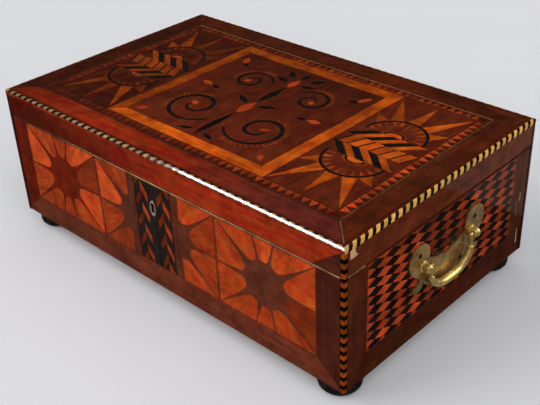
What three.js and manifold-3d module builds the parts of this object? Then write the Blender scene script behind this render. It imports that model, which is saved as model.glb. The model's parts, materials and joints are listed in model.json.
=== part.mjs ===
// Inlaid table box: a mitred carcass on four bun feet, a lid hinged at the back, veneer panels
// let in flush, twisted stringing on the arrises, and a drop handle on each end.
// Millimetres, +Z up, front towards -Y. The origin is under the middle of the whole box.
import * as THREE from "three";
import { mergeVertices } from "three/addons/utils/BufferGeometryUtils.js";
import Module from "manifold-3d";

const wasm = await Module();
wasm.setup();

// Carcass and lid
const boxWidth = 500;
const boxDepth = 308;
const footHeight = 19.5;
const carcassHeight = 129;
const caseHeight = 160; // carcass and lid together, without the feet
const seamGap = 0.4;
const wall = 12;
const bottomBoard = 9;
const jointGap = 0.3; // glue line between neighbouring pieces
const carcassTop = footHeight + carcassHeight;
const lidBottom = carcassTop + seamGap;
const lidTop = footHeight + caseHeight;
const lidHeight = lidTop - lidBottom;

// Stringing let into the arrises
const lidString = 6;
const cornerString = 5;

// Veneer panels: a plate in a pocket, or for a star a ground sheet with the petals standing on it
const veneer = 1.5;
const groundSheet = 0.7;
const starVeneer = 0.8;
const starPocket = groundSheet + starVeneer + jointGap;

// Front layout, from the middle outwards and from the carcass underside upwards
const frontRail = 28;
const panelTop = 127.5;
const keyStripHalf = 28;
const halfPanelOuter = 90;
const starPanelInner = 92;
const starPanelOuter = 218;
const halfStarBand = 10.5; // plain band between a half star and the keyhole strip

// Star: points run to the corners, to the middle of the ends and to two places above and below
const starPointSpread = 13;
const starPetalReach = 26; // from the star's centre to a petal's round inner end
const starPointTip = 0.7; // half the width of a point where it meets the panel's edge
const petalBelly = 0.12; // how far a petal's side bends away from its star point
const petalRoundness = 0.6; // width of a petal's inner end, as a share of the space between two points
const petalSteps = 5;
const petalFit = 0.985; // a petal's size within its opening in the star

// Keyhole and its escutcheon
const keyholeHeight = 102.5; // centre of the round top, above the carcass underside
const keyholeRound = 2.9;
const keyholeSlot = 2.3; // half the slot's width
const keyholeDrop = 9;
const escutcheonHalfWidth = 4.5;
const escutcheonHalfHeight = 8.9;
const escutcheonCentre = keyholeHeight - 3.4;
const escutcheonProud = 0.6;

// End panels
const endStile = 31.5;
const endRail = 30;

// Lid layout
const lidBorder = 30;
const lidBanding = 12.5;
const lidFrameHalfWidth = 116.5;
const lidFrameBand = 15;

// Lost veneer at the lid's front right corner
const chipStart = 2.5;
const chipWidth = 15;
const chipHeight = 11;
const chipDepth = 1.6;

// Feet
const footRadius = 22;
const footInset = 25;
const footSides = 24;

// Drop handles
const handleHeight = 82; // pivot, above the carcass underside
const earSpread = 46;
const earRise = 10;
const earRadius = 16.5;
const plateThickness = 1.8;
const postSpread = 40;
const postLength = 10;
const postRadius = 5;
const pivotOffset = plateThickness + jointGap + 4.2; // pivot line, outwards from the box's end
const pivotHole = 2.2;
const pinRadius = 1.8;
const bailEndRadius = 2.5;
const bailMiddleRadius = 4.2;
const bailLean = 2; // degrees, so that the thick middle hangs clear of the plate
const bailSteps = 30;
const bailSides = 10;

// Butt hinges on the back
const hingeSpread = 150;
const hingeLength = 40;
const knuckleCount = 5;
const knuckleGap = 0.4;
const knuckleRadius = 2.6;
const knuckleOffset = 2.9; // pin, outwards from the back
const hingePinRadius = 1.1;
const hingePinHole = 1.5;
const leafDepth = 8;
const leafThickness = 1.4;

// The knuckles reach further out than the escutcheon, so the case sits forward of the origin.
const caseShift = (escutcheonProud - (knuckleOffset + knuckleRadius)) / 2;

const finish = (color, roughness, metalness = 0) =>
  new THREE.MeshStandardMaterial({ color, roughness, metalness });
const mahogany = finish(0x5a2214, 0.3);
const darkWalnut = finish(0x3d1c12, 0.3);
const insideWood = finish(0x7a5230, 0.7);
const padauk = finish(0xc24a1a, 0.3);
const starWood = finish(0x4e2418, 0.3);
const amberWood = finish(0xc8641a, 0.3);
const boxwood = finish(0xe0b060, 0.35);
const ebony = finish(0x14100e, 0.2);
const brass = finish(0x9a8448, 0.3, 1);

const toSolid = (geometry) => {
  const bare = geometry.clone();
  bare.deleteAttribute("normal");
  bare.deleteAttribute("uv");
  const merged = mergeVertices(bare);
  return new wasm.Manifold(
    new wasm.Mesh({
      numProp: 3,
      vertProperties: new Float32Array(merged.attributes.position.array),
      triVerts: new Uint32Array(merged.index.array),
    }),
  );
};

const toGeometry = (solid) => {
  const mesh = solid.getMesh();
  const geometry = new THREE.BufferGeometry();
  geometry.setAttribute("position", new THREE.BufferAttribute(mesh.vertProperties, 3));
  geometry.setIndex(new THREE.BufferAttribute(mesh.triVerts, 1));
  return geometry;
};

const cut = (geometry, ...tools) =>
  toGeometry(tools.reduce((solid, tool) => solid.subtract(toSolid(tool)), toSolid(geometry)));
const join = (geometry, ...others) =>
  toGeometry(others.reduce((solid, other) => solid.add(toSolid(other)), toSolid(geometry)));
const common = (first, second) => toGeometry(toSolid(first).intersect(toSolid(second)));

const block = (x0, x1, y0, y1, z0, z1) =>
  new THREE.BoxGeometry(x1 - x0, y1 - y0, z1 - z0).translate((x0 + x1) / 2, (y0 + y1) / 2, (z0 + z1) / 2);

const outline = (points) => new THREE.Shape(points.map(([x, y]) => new THREE.Vector2(x, y)));

const rectangle = (x0, x1, y0, y1) =>
  outline([
    [x0, y0],
    [x1, y0],
    [x1, y1],
    [x0, y1],
  ]);

const prism = (shape, height, curveSegments = 8) =>
  new THREE.ExtrudeGeometry(shape, { depth: height, bevelEnabled: false, curveSegments });

// A plate on an upright face: the shape is drawn as seen from outside, y = 0 is the face of the box
// and the plate reaches from `sunk` behind it outwards by its thickness.
const facePlate = (shape, thickness, sunk = thickness, curveSegments = 8) =>
  prism(shape, thickness, curveSegments).rotateX(Math.PI / 2).translate(0, sunk, 0);

// A straight beam along X whose section is given in Y and Z
const beam = (section, length) => {
  const turn = new THREE.Matrix4().makeBasis(
    new THREE.Vector3(0, 1, 0),
    new THREE.Vector3(0, 0, 1),
    new THREE.Vector3(1, 0, 0),
  );
  return prism(outline(section), length).translate(0, 0, -length / 2).applyMatrix4(turn);
};

// A rod along X with `sides` flats
const rod = (radius, length, sides = 12) =>
  new THREE.CylinderGeometry(radius, radius, length, sides).rotateZ(Math.PI / 2);

const inlaidBox = new THREE.Group();
inlaidBox.name = "inlaid_box";
const carcass = new THREE.Group();
const lid = new THREE.Group();
for (const half of [carcass, lid]) {
  half.position.y = caseShift;
  inlaidBox.add(half);
}

const place = (parent, name, geometry, material, [x, y, z] = [0, 0, 0]) => {
  const mesh = new THREE.Mesh(geometry, material);
  mesh.name = name;
  mesh.position.set(x, y, z);
  parent.add(mesh);
  return mesh;
};

// Each side of the box is drawn as the front is and then turned into place: x runs along the side,
// y = 0 is its outer face and y grows inwards.
const sides = [
  { name: "front", turn: 0, half: boxWidth / 2, span: boxDepth / 2, ends: 0 },
  { name: "right", turn: 1, half: boxDepth / 2, span: boxWidth / 2, ends: jointGap },
  { name: "back", turn: 2, half: boxWidth / 2, span: boxDepth / 2, ends: 0 },
  { name: "left", turn: 3, half: boxDepth / 2, span: boxWidth / 2, ends: jointGap },
];

const sideFrame = (parent, side, z) => {
  const turned = new THREE.Group();
  turned.rotation.z = (side.turn * Math.PI) / 2;
  const face = new THREE.Group();
  face.position.set(0, -side.span, z);
  turned.add(face);
  parent.add(turned);
  return face;
};

// Plan of one wall, mitred at both ends, with a square left open at each arris for the stringing
const wallPlan = ({ half, ends }) => {
  const end = half - ends;
  return outline([
    [cornerString - end, 0],
    [end - cornerString, 0],
    [end - cornerString, cornerString],
    [end - wall, wall],
    [wall - end, wall],
    [cornerString - end, cornerString],
  ]);
};

// Star panels of the front

// One side of a petal: it leaves the panel's edge along its star point and turns round the petal's tip.
const petalSide = (foot, aim, tip, tipShoulder) => {
  const along = foot.clone().lerp(aim, 0.5).lerp(tip, petalBelly);
  return new THREE.CubicBezierCurve(foot, along, tipShoulder, tip).getPoints(petalSteps);
};

const petalOutline = (from, to, fromAim, toAim, centre, reach) => {
  const first = from.clone().sub(centre).normalize();
  const second = to.clone().sub(centre).normalize();
  const axis = first.clone().add(second).normalize();
  const tip = centre.clone().addScaledVector(axis, reach);
  const spread = reach * Math.tan(Math.acos(axis.dot(first)));
  const across = second.sub(first).normalize().multiplyScalar(spread * petalRoundness);
  const fromSide = petalSide(from, fromAim, tip, tip.clone().sub(across));
  const toSide = petalSide(to, toAim, tip, tip.clone().add(across));
  return [...fromSide, ...toSide.reverse().slice(1)];
};

// Points of a star's rays on the edge of its panel, in order round the panel
const fullStarRays = (halfWidth, halfHeight) =>
  [
    [1, 0],
    [1, 1],
    [starPointSpread / halfWidth, 1],
    [-starPointSpread / halfWidth, 1],
    [-1, 1],
    [-1, 0],
    [-1, -1],
    [-starPointSpread / halfWidth, -1],
    [starPointSpread / halfWidth, -1],
    [1, -1],
  ].map(([x, y]) => new THREE.Vector2(x * halfWidth, y * halfHeight));

// Petals between neighbouring rays: their feet stand off the ray by the width of the star's point.
const petalsBetween = (rays, closed, centre, aims) => {
  const petals = [];
  const last = closed ? rays.length : rays.length - 1;
  for (let i = 0; i < last; i += 1) {
    const next = (i + 1) % rays.length;
    const run = rays[next].clone().sub(rays[i]).normalize();
    const from = rays[i].clone().addScaledVector(run, starPointTip);
    const to = rays[next].clone().addScaledVector(run, -starPointTip);
    petals.push(petalOutline(from, to, aims[i], aims[next], centre, starPetalReach));
  }
  return petals;
};

const fullStar = (halfWidth, halfHeight) => {
  const rays = fullStarRays(halfWidth, halfHeight);
  const centre = new THREE.Vector2(0, 0);
  const petals = petalsBetween(rays, true, centre, rays.map(() => centre));
  return { petals, edge: [] };
};

// A half star: the star's centre lies on the keyhole strip's side, at the left end of the panel.
const halfStar = (halfWidth, halfHeight) => {
  const bandEdge = halfStarBand - halfWidth;
  const rays = [
    new THREE.Vector2(bandEdge, -halfHeight),
    new THREE.Vector2(halfWidth, -halfHeight),
    new THREE.Vector2(halfWidth, 0),
    new THREE.Vector2(halfWidth, halfHeight),
    new THREE.Vector2(bandEdge, halfHeight),
  ];
  const centre = new THREE.Vector2(-halfWidth, 0);
  const bandMiddle = new THREE.Vector2(bandEdge, 0);
  const aims = [bandMiddle, centre, centre, centre, bandMiddle];
  const edge = [new THREE.Vector2(-halfWidth, halfHeight), new THREE.Vector2(-halfWidth, -halfHeight)];
  return { petals: petalsBetween(rays, false, centre, aims), edge };
};

const shrunk = (points) => {
  const middle = points.reduce((sum, p) => sum.add(p), new THREE.Vector2()).divideScalar(points.length);
  return points.map((p) => p.clone().sub(middle).multiplyScalar(petalFit).add(middle));
};

const starPanels = [
  { name: "left", inner: -starPanelOuter, outer: -starPanelInner, make: fullStar, flip: 1 },
  { name: "inner_left", inner: -halfPanelOuter, outer: -keyStripHalf, make: halfStar, flip: -1 },
  { name: "inner_right", inner: keyStripHalf, outer: halfPanelOuter, make: halfStar, flip: 1 },
  { name: "right", inner: starPanelInner, outer: starPanelOuter, make: fullStar, flip: 1 },
];

const panelMiddle = (frontRail + panelTop) / 2;

const addStarPanel = (face, { name, inner, outer, make, flip }) => {
  const halfWidth = (outer - inner) / 2 - jointGap;
  const halfHeight = (panelTop - frontRail) / 2 - jointGap;
  const { petals, edge } = make(halfWidth, halfHeight);
  const flipped = (points) => {
    const turned = points.map((p) => new THREE.Vector2(p.x * flip, p.y));
    return flip < 0 ? turned.reverse() : turned;
  };
  const centre = [(inner + outer) / 2, 0, panelMiddle];
  const star = new THREE.Shape(flipped([...petals.flat(), ...edge]));
  place(face, `front_${name}_star`, facePlate(star, starVeneer), starWood, centre);
  const ground = facePlate(rectangle(-halfWidth, halfWidth, -halfHeight, halfHeight), groundSheet, starPocket);
  const raised = petals.map((points) =>
    facePlate(new THREE.Shape(flipped(shrunk(points))), starPocket - groundSheet / 2, starPocket - groundSheet / 2),
  );
  place(face, `front_${name}_petals`, join(ground, ...raised), padauk, centre);
};

// Keyhole: a round hole over a slot
const keyholePath = (Outline) => {
  const path = new Outline();
  const shoulder = Math.sqrt(keyholeRound ** 2 - keyholeSlot ** 2);
  const angle = Math.atan2(-shoulder, keyholeSlot);
  path.moveTo(-keyholeSlot, -keyholeDrop);
  path.lineTo(keyholeSlot, -keyholeDrop);
  path.lineTo(keyholeSlot, -shoulder);
  path.absarc(0, 0, keyholeRound, angle, Math.PI - angle, false);
  path.lineTo(-keyholeSlot, -keyholeDrop);
  return path;
};

const ovalPath = (Outline, grow) => {
  const path = new Outline();
  const lower = escutcheonCentre - keyholeHeight;
  path.absellipse(0, lower, escutcheonHalfWidth + grow, escutcheonHalfHeight + grow, 0, 2 * Math.PI);
  return path;
};

const addKeyhole = (face) => {
  const strip = rectangle(
    jointGap - keyStripHalf,
    keyStripHalf - jointGap,
    frontRail + jointGap - keyholeHeight,
    panelTop - jointGap - keyholeHeight,
  );
  strip.holes.push(ovalPath(THREE.Path, jointGap));
  const at = [0, 0, keyholeHeight];
  place(face, "keyhole_panel", facePlate(strip, veneer, veneer, 10), ebony, at);
  const ring = ovalPath(THREE.Shape, 0);
  ring.holes.push(keyholePath(THREE.Path));
  place(face, "keyhole_escutcheon", facePlate(ring, veneer + escutcheonProud, veneer, 10), brass, at);
};

const pocket = (x0, x1, z0, z1, depth) => block(x0, x1, -1, depth, z0, z1);

const frontPockets = () => [
  ...starPanels.map(({ inner, outer }) => pocket(inner, outer, frontRail, panelTop, starPocket + jointGap)),
  pocket(-keyStripHalf + jointGap / 2, keyStripHalf - jointGap / 2, frontRail, panelTop, veneer + jointGap),
  facePlate(keyholePath(THREE.Shape), 2 * wall, 1.5 * wall).translate(0, 0, keyholeHeight),
];

// Harlequin panel of one end
const endPanelHalf = boxDepth / 2 - endStile;

const addEndPanel = (face, name) => {
  const panel = rectangle(
    jointGap - endPanelHalf,
    endPanelHalf - jointGap,
    endRail + jointGap,
    panelTop - jointGap,
  );
  place(face, `${name}_harlequin_panel`, facePlate(panel, veneer), padauk);
};

// Handle plate: two round ears, a cusped upper edge, a curled tail under each ear and a round belly
const handlePlateShape = () => {
  const half = new THREE.Path();
  half.moveTo(0, -6.2);
  half.quadraticCurveTo(2.5, -2.2, 7, -3.4);
  half.quadraticCurveTo(10, -0.6, 15, -1.4);
  half.quadraticCurveTo(23, 1.5, earSpread - 15.5, earRise - 5.6);
  half.absarc(earSpread, earRise, earRadius, Math.PI + 0.35, -0.7, true);
  half.bezierCurveTo(57, -5, 48, -8, 45.5, -14);
  half.bezierCurveTo(45, -18, 49, -20, 54.5, -20.5);
  half.quadraticCurveTo(56, -26, 49.5, -27.5);
  half.quadraticCurveTo(41, -27.5, 38.5, -18.5);
  half.bezierCurveTo(36, -26, 22, -35, 0, -35);
  const right = half.getPoints(5);
  const left = right.slice(1, -1).reverse();
  return new THREE.Shape([...right, ...left.map((p) => new THREE.Vector2(-p.x, p.y))].reverse());
};

// Turned post with a bulb that the bail's pin runs in
const postGeometry = () => {
  const profile = [
    [0, 0],
    [postRadius + 1.2, 0],
    [postRadius + 1.2, 1.2],
    [postRadius - 1, 2],
    [postRadius - 1, 2.6],
    [postRadius, 3.8],
    [postRadius, 6.4],
    [postRadius - 1.2, 8.4],
    [1.6, postLength],
    [0, postLength],
  ].map(([r, h]) => new THREE.Vector2(r, h));
  const post = new THREE.LatheGeometry(profile, 16).rotateX(Math.PI);
  const hole = rod(pivotHole, 4 * postRadius).translate(0, plateThickness + jointGap - pivotOffset, 0);
  return cut(post, hole);
};

// Bail: a bar bent along a swan-necked curve, thin at its pins and thick where it is gripped
const bailCurve = () => {
  const half = [
    [postSpread + 3, 0],
    [postSpread - 3, 0],
    [33.4, -0.8],
    [32.6, -5.5],
    [34, -12.5],
    [28.5, -22.5],
    [15.5, -29.3],
  ];
  const points = [...half, [0, -31], ...half.map(([x, z]) => [-x, z]).reverse()];
  return new THREE.CatmullRomCurve3(points.map(([x, z]) => new THREE.Vector3(x, 0, z)), false, "centripetal");
};

const bailRadius = (point) => {
  if (Math.abs(point.x) > postSpread - postRadius - 1.2) return pinRadius;
  const drop = THREE.MathUtils.smoothstep(-point.z, 4, 28);
  return THREE.MathUtils.lerp(bailEndRadius, bailMiddleRadius, drop);
};

const bailGeometry = () => {
  const curve = bailCurve();
  const stations = Array.from({ length: bailSteps + 1 }, (_, i) => i / bailSteps);
  const profile = [
    new THREE.Vector2(0, 0),
    ...stations.map((t) => new THREE.Vector2(bailRadius(curve.getPointAt(t)), t)),
    new THREE.Vector2(0, 1),
  ];
  const bar = new THREE.LatheGeometry(profile, bailSides);
  const positions = bar.attributes.position;
  const out = new THREE.Vector3(0, 1, 0);
  for (let i = 0; i < positions.count; i += 1) {
    const t = THREE.MathUtils.clamp(positions.getY(i), 0, 1);
    const across = curve.getTangentAt(t).cross(out).normalize();
    const point = curve.getPointAt(t);
    point.addScaledVector(across, positions.getX(i)).addScaledVector(out, positions.getZ(i));
    positions.setXYZ(i, point.x, point.y, point.z);
  }
  return toGeometry(toSolid(bar)).rotateX(-THREE.MathUtils.degToRad(bailLean));
};

const addHandle = (face, name) => {
  const plate = facePlate(handlePlateShape(), plateThickness, 0);
  place(face, `${name}_handle_plate`, plate, brass, [0, -jointGap, handleHeight]);
  for (const [end, x] of [
    ["front", name === "right" ? -postSpread : postSpread],
    ["back", name === "right" ? postSpread : -postSpread],
  ]) {
    const at = [x, -plateThickness - 2 * jointGap, handleHeight];
    place(face, `${name}_handle_post_${end}`, postGeometry(), brass, at);
  }
  place(face, `${name}_handle_bail`, bailGeometry(), brass, [0, -pivotOffset - jointGap, handleHeight]);
};

// Butt hinge: two leaves let into the edges of carcass and lid, with knuckles on one pin
const knucklePitch = hingeLength / knuckleCount;

const hingeLeaf = (first, up) => {
  const low = up ? seamGap / 2 : -seamGap / 2 - leafThickness;
  let leaf = block(-hingeLength / 2, hingeLength / 2, 0, leafDepth, low, low + leafThickness);
  for (let i = first; i < knuckleCount; i += 2) {
    const middle = (i + 0.5) * knucklePitch - hingeLength / 2;
    const half = (knucklePitch - knuckleGap) / 2;
    const knuckle = rod(knuckleRadius, 2 * half).translate(middle, -knuckleOffset, 0);
    const root = block(middle - half, middle + half, -knuckleOffset, 1, low, low + leafThickness);
    leaf = join(leaf, knuckle, root);
  }
  if (up) return cut(leaf, rod(hingePinHole, hingeLength).translate(0, -knuckleOffset, 0));
  return join(leaf, rod(hingePinRadius, hingeLength - knuckleGap).translate(0, -knuckleOffset, 0));
};

const leafPocket = (z0, z1) =>
  [-hingeSpread, hingeSpread].map((x) => {
    const half = hingeLength / 2 + jointGap;
    return block(x - half, x + half, -1, leafDepth + jointGap, z0, z1);
  });

const addHinges = (carcassFace, lidFace, seam) => {
  for (const [name, x] of [
    ["left", hingeSpread],
    ["right", -hingeSpread],
  ]) {
    place(carcassFace, `${name}_hinge_lower_leaf`, hingeLeaf(0, false), brass, [x, 0, seam - footHeight]);
    place(lidFace, `${name}_hinge_upper_leaf`, hingeLeaf(1, true), brass, [x, 0, seam - lidBottom]);
  }
};

// Section of a lid rim: mitred to the top board, with a square left open for the stringing
const rimSection = [
  [0, 0],
  [0, lidHeight - lidString],
  [lidString, lidHeight - lidString],
  [wall, lidHeight - wall],
  [wall, 0],
].reverse();

const topSection = (half) => [
  [wall + jointGap - half, -wall],
  [half - wall - jointGap, -wall],
  [half - lidString - jointGap, -lidString],
  [half - lidString - jointGap, 0],
  [lidString + jointGap - half, 0],
  [lidString + jointGap - half, -lidString],
];

// Stringing on the lid's upper arris, mitred at its ends
const lidStringGeometry = ({ half, ends }) => {
  const end = half - ends;
  const side = lidString - jointGap;
  const plan = outline([
    [-end, 0],
    [end, 0],
    [end - side, side],
    [side - end, side],
  ]);
  return prism(plan, side);
};

const chipTool = () => {
  const low = lidHeight - lidString - chipHeight;
  const high = lidHeight;
  const shape = outline([
    [0, low + 0.1 * chipHeight],
    [0.4 * chipWidth, low],
    [chipWidth, low + 0.1 * chipHeight],
    [0.65 * chipWidth, low + 0.4 * chipHeight],
    [0.5 * chipWidth, high],
    [0, high],
  ]);
  return facePlate(shape, 2 * chipDepth, chipDepth).translate(chipStart + cornerString - boxDepth / 2, 0, 0);
};

const carcassFaces = {};
const lidFaces = {};

for (const side of sides) {
  const face = sideFrame(carcass, side, footHeight);
  const lidFace = sideFrame(lid, side, lidBottom);
  carcassFaces[side.name] = face;
  lidFaces[side.name] = lidFace;
  const plan = wallPlan(side);
  const isEnd = side.turn % 2 === 1;

  let board = prism(plan, carcassHeight);
  if (side.name === "front") board = cut(board, ...frontPockets());
  if (side.name === "back") board = cut(board, ...leafPocket(carcassHeight - leafThickness - jointGap, carcassHeight + 1));
  if (isEnd) board = cut(board, pocket(-endPanelHalf, endPanelHalf, endRail, panelTop, veneer + jointGap));
  place(face, `box_${side.name}`, board, isEnd ? darkWalnut : mahogany);

  let rim = common(prism(plan, lidHeight), beam(rimSection, boxWidth));
  if (side.name === "back") rim = cut(rim, ...leafPocket(-1, leafThickness + jointGap));
  if (side.name === "right") rim = cut(rim, chipTool());
  place(lidFace, `lid_${side.name}`, rim, isEnd ? darkWalnut : mahogany);
  const stringRise = lidHeight - lidString + jointGap;
  place(lidFace, `lid_string_${side.name}`, lidStringGeometry(side), boxwood, [0, 0, stringRise]);
}

for (const [name, x, y] of [
  ["front_left", -1, -1],
  ["front_right", 1, -1],
  ["back_left", -1, 1],
  ["back_right", 1, 1],
]) {
  const side = cornerString - jointGap;
  const cornerX = x * (boxWidth / 2 - side / 2);
  const cornerY = y * (boxDepth / 2 - side / 2);
  const strip = (low, high) => block(-side / 2, side / 2, -side / 2, side / 2, low, high);
  place(carcass, `corner_string_${name}`, strip(footHeight, carcassTop), boxwood, [cornerX, cornerY, 0]);
  const lidStrip = strip(lidBottom, lidTop - lidString);
  place(lid, `lid_corner_string_${name}`, lidStrip, boxwood, [cornerX, cornerY, 0]);

  const profile = [
    [0, 0],
    [0.58, 0],
    [0.86, 0.13],
    [1, 0.42],
    [0.97, 0.68],
    [0.78, 0.985],
    [0, 0.985],
  ].map(([r, h]) => new THREE.Vector2(r * footRadius, h * footHeight));
  const foot = new THREE.LatheGeometry(profile, footSides).rotateX(Math.PI / 2);
  const footX = x * (boxWidth / 2 - footInset);
  const footY = y * (boxDepth / 2 - footInset);
  place(carcass, `foot_${name}`, foot, ebony, [footX, footY, 0]);
}

const innerHalfWidth = boxWidth / 2 - wall - jointGap;
const innerHalfDepth = boxDepth / 2 - wall - jointGap;
const floor = block(-innerHalfWidth, innerHalfWidth, -innerHalfDepth, innerHalfDepth, 0, bottomBoard);
place(carcass, "box_bottom", floor, insideWood, [0, 0, footHeight]);

for (const panel of starPanels) addStarPanel(carcassFaces.front, panel);
addKeyhole(carcassFaces.front);
for (const name of ["left", "right"]) {
  addEndPanel(carcassFaces[name], name);
  addHandle(carcassFaces[name], name);
}
addHinges(carcassFaces.back, lidFaces.back, (carcassTop + lidBottom) / 2);

// Lid top, with one pocket that all of its veneers lie in
const fieldX = boxWidth / 2 - lidBorder;
const fieldY = boxDepth / 2 - lidBorder;
const innerX = fieldX - lidBanding;
const innerY = fieldY - lidBanding;
const lidBoard = common(
  beam(topSection(boxDepth / 2), boxWidth),
  beam(topSection(boxWidth / 2), boxDepth).rotateZ(Math.PI / 2),
);
const lidPocket = block(-fieldX, fieldX, -fieldY, fieldY, -veneer - jointGap, 1);
place(lid, "lid_top", cut(lidBoard, lidPocket), darkWalnut, [0, 0, lidTop]);

const ring = (outerX, outerY, holeX, holeY) => {
  const shape = rectangle(-outerX, outerX, -outerY, outerY);
  shape.holes.push(rectangle(-holeX, holeX, -holeY, holeY));
  return shape;
};
const addLidVeneer = (name, shape, material) =>
  place(lid, name, prism(shape, veneer), material, [0, 0, lidTop - veneer]);

const glue = jointGap / 2;
const frameInnerX = lidFrameHalfWidth - lidFrameBand;
const frameInnerY = innerY - lidFrameBand;
addLidVeneer("lid_banding", ring(fieldX - jointGap, fieldY - jointGap, innerX + glue, innerY + glue), padauk);
addLidVeneer(
  "lid_centre_frame",
  ring(lidFrameHalfWidth - glue, innerY - glue, frameInnerX + glue, frameInnerY + glue),
  amberWood,
);
const centrePanel = rectangle(glue - frameInnerX, frameInnerX - glue, glue - frameInnerY, frameInnerY - glue);
addLidVeneer("lid_centre_panel", centrePanel, mahogany);
const endPanel = (x0, x1) => rectangle(x0 + glue, x1 - glue, glue - innerY, innerY - glue);
addLidVeneer("lid_left_panel", endPanel(-innerX, -lidFrameHalfWidth), starWood);
addLidVeneer("lid_right_panel", endPanel(lidFrameHalfWidth, innerX), starWood);

export default inlaidBox;
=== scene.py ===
"""Inlaid table box: varnished veneers, stringing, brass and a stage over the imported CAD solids."""

import json
import math
import random

import bmesh
import bpy
from bpy.props import FloatProperty, PointerProperty, StringProperty
from mathutils import Matrix, Vector
from mathutils.geometry import delaunay_2d_cdt, interpolate_bezier
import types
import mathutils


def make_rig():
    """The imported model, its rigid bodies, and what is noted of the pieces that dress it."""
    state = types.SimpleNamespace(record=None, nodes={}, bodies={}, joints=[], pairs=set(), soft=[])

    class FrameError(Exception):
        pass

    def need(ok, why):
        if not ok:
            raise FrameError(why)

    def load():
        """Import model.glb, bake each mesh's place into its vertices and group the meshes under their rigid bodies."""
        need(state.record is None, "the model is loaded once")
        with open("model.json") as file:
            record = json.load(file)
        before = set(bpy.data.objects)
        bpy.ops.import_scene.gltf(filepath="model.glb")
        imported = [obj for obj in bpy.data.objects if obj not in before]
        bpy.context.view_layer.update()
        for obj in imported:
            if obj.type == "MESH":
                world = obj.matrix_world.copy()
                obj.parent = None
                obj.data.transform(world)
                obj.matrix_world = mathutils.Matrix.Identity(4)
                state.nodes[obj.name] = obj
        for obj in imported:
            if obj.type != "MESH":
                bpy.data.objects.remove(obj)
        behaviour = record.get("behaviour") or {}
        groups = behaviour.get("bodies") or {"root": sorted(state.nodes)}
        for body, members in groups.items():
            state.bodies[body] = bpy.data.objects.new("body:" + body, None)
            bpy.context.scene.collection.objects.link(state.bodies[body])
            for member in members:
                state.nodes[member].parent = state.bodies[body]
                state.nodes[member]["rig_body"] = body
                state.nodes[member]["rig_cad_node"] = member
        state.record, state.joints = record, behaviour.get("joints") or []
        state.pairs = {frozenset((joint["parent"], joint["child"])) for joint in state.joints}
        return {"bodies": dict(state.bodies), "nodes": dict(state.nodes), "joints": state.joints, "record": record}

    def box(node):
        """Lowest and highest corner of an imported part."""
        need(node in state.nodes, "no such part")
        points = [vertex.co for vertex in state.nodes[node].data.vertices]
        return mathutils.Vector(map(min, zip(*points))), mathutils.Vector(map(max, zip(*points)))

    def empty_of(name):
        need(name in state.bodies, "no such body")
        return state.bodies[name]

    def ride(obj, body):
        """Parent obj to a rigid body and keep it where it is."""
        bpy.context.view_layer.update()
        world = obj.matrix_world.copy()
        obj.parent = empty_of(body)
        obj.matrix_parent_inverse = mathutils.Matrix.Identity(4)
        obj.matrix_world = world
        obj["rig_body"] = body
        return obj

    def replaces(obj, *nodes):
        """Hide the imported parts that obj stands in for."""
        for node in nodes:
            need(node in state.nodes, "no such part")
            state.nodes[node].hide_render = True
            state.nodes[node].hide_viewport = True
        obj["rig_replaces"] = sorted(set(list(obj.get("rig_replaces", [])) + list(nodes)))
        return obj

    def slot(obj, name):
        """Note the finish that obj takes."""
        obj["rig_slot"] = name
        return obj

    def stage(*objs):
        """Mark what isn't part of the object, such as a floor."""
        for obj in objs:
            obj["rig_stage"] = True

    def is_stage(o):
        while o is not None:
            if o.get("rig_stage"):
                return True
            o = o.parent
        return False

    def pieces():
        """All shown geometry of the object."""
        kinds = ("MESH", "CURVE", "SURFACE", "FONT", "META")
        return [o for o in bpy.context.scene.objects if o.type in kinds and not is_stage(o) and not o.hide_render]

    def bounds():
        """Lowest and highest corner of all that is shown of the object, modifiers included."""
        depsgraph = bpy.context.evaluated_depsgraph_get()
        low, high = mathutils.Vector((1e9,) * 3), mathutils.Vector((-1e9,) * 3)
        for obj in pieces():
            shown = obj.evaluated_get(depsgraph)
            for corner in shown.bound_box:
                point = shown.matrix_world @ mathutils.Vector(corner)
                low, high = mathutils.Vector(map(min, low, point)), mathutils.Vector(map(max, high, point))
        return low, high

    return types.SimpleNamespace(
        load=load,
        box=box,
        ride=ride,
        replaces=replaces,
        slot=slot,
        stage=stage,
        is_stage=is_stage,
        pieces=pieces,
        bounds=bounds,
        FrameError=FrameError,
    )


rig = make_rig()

bl_info = {
    "name": "Inlaid table box",
    "version": (1, 0, 0),
    "blender": (4, 5, 0),
    "location": "View3D > Sidebar > Inlaid box",
    "description": "Builds the veneers, stringing, brass and stage of an inlaid table box",
    "category": "Add Mesh",
}

MM = 0.001
SIDES = ("front", "right", "back", "left")
CORNERS = ("front_left", "front_right", "back_left", "back_right")
TURN = {"front": 0, "right": 1, "back": 2, "left": 3}
# Shade of each board's left stile, rail and right stile
BOARD_SHADES = {
    "front": (0.3, 0.9, 0.42),
    "right": (0.5, 0.4, 0.5),
    "back": (0.6, 0.6, 0.6),
    "left": (0.6, 0.6, 0.6),
}
# Half lengths of the boards, and half width and lower edge of the panel let into each, in millimetres
BOARD_HALF = {"front": 250, "right": 154, "back": 250, "left": 154}
BOARD_INLAY = {"front": (218, 28), "right": (122.5, 30), "back": (218, 28), "left": (122.5, 30)}
# Half size of the field inside the lid's border, in millimetres
LID_FIELD = (220, 124)
# Worn streaks on the right end's back stile: left, right, low and high edge in millimetres, and shade
STILE_STREAKS = ((139.5, 141.2, 14, 32, 1.6), (137.6, 140.0, 68, 78, 1.2), (133.0, 134.3, 52, 73, 0.8))
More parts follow.
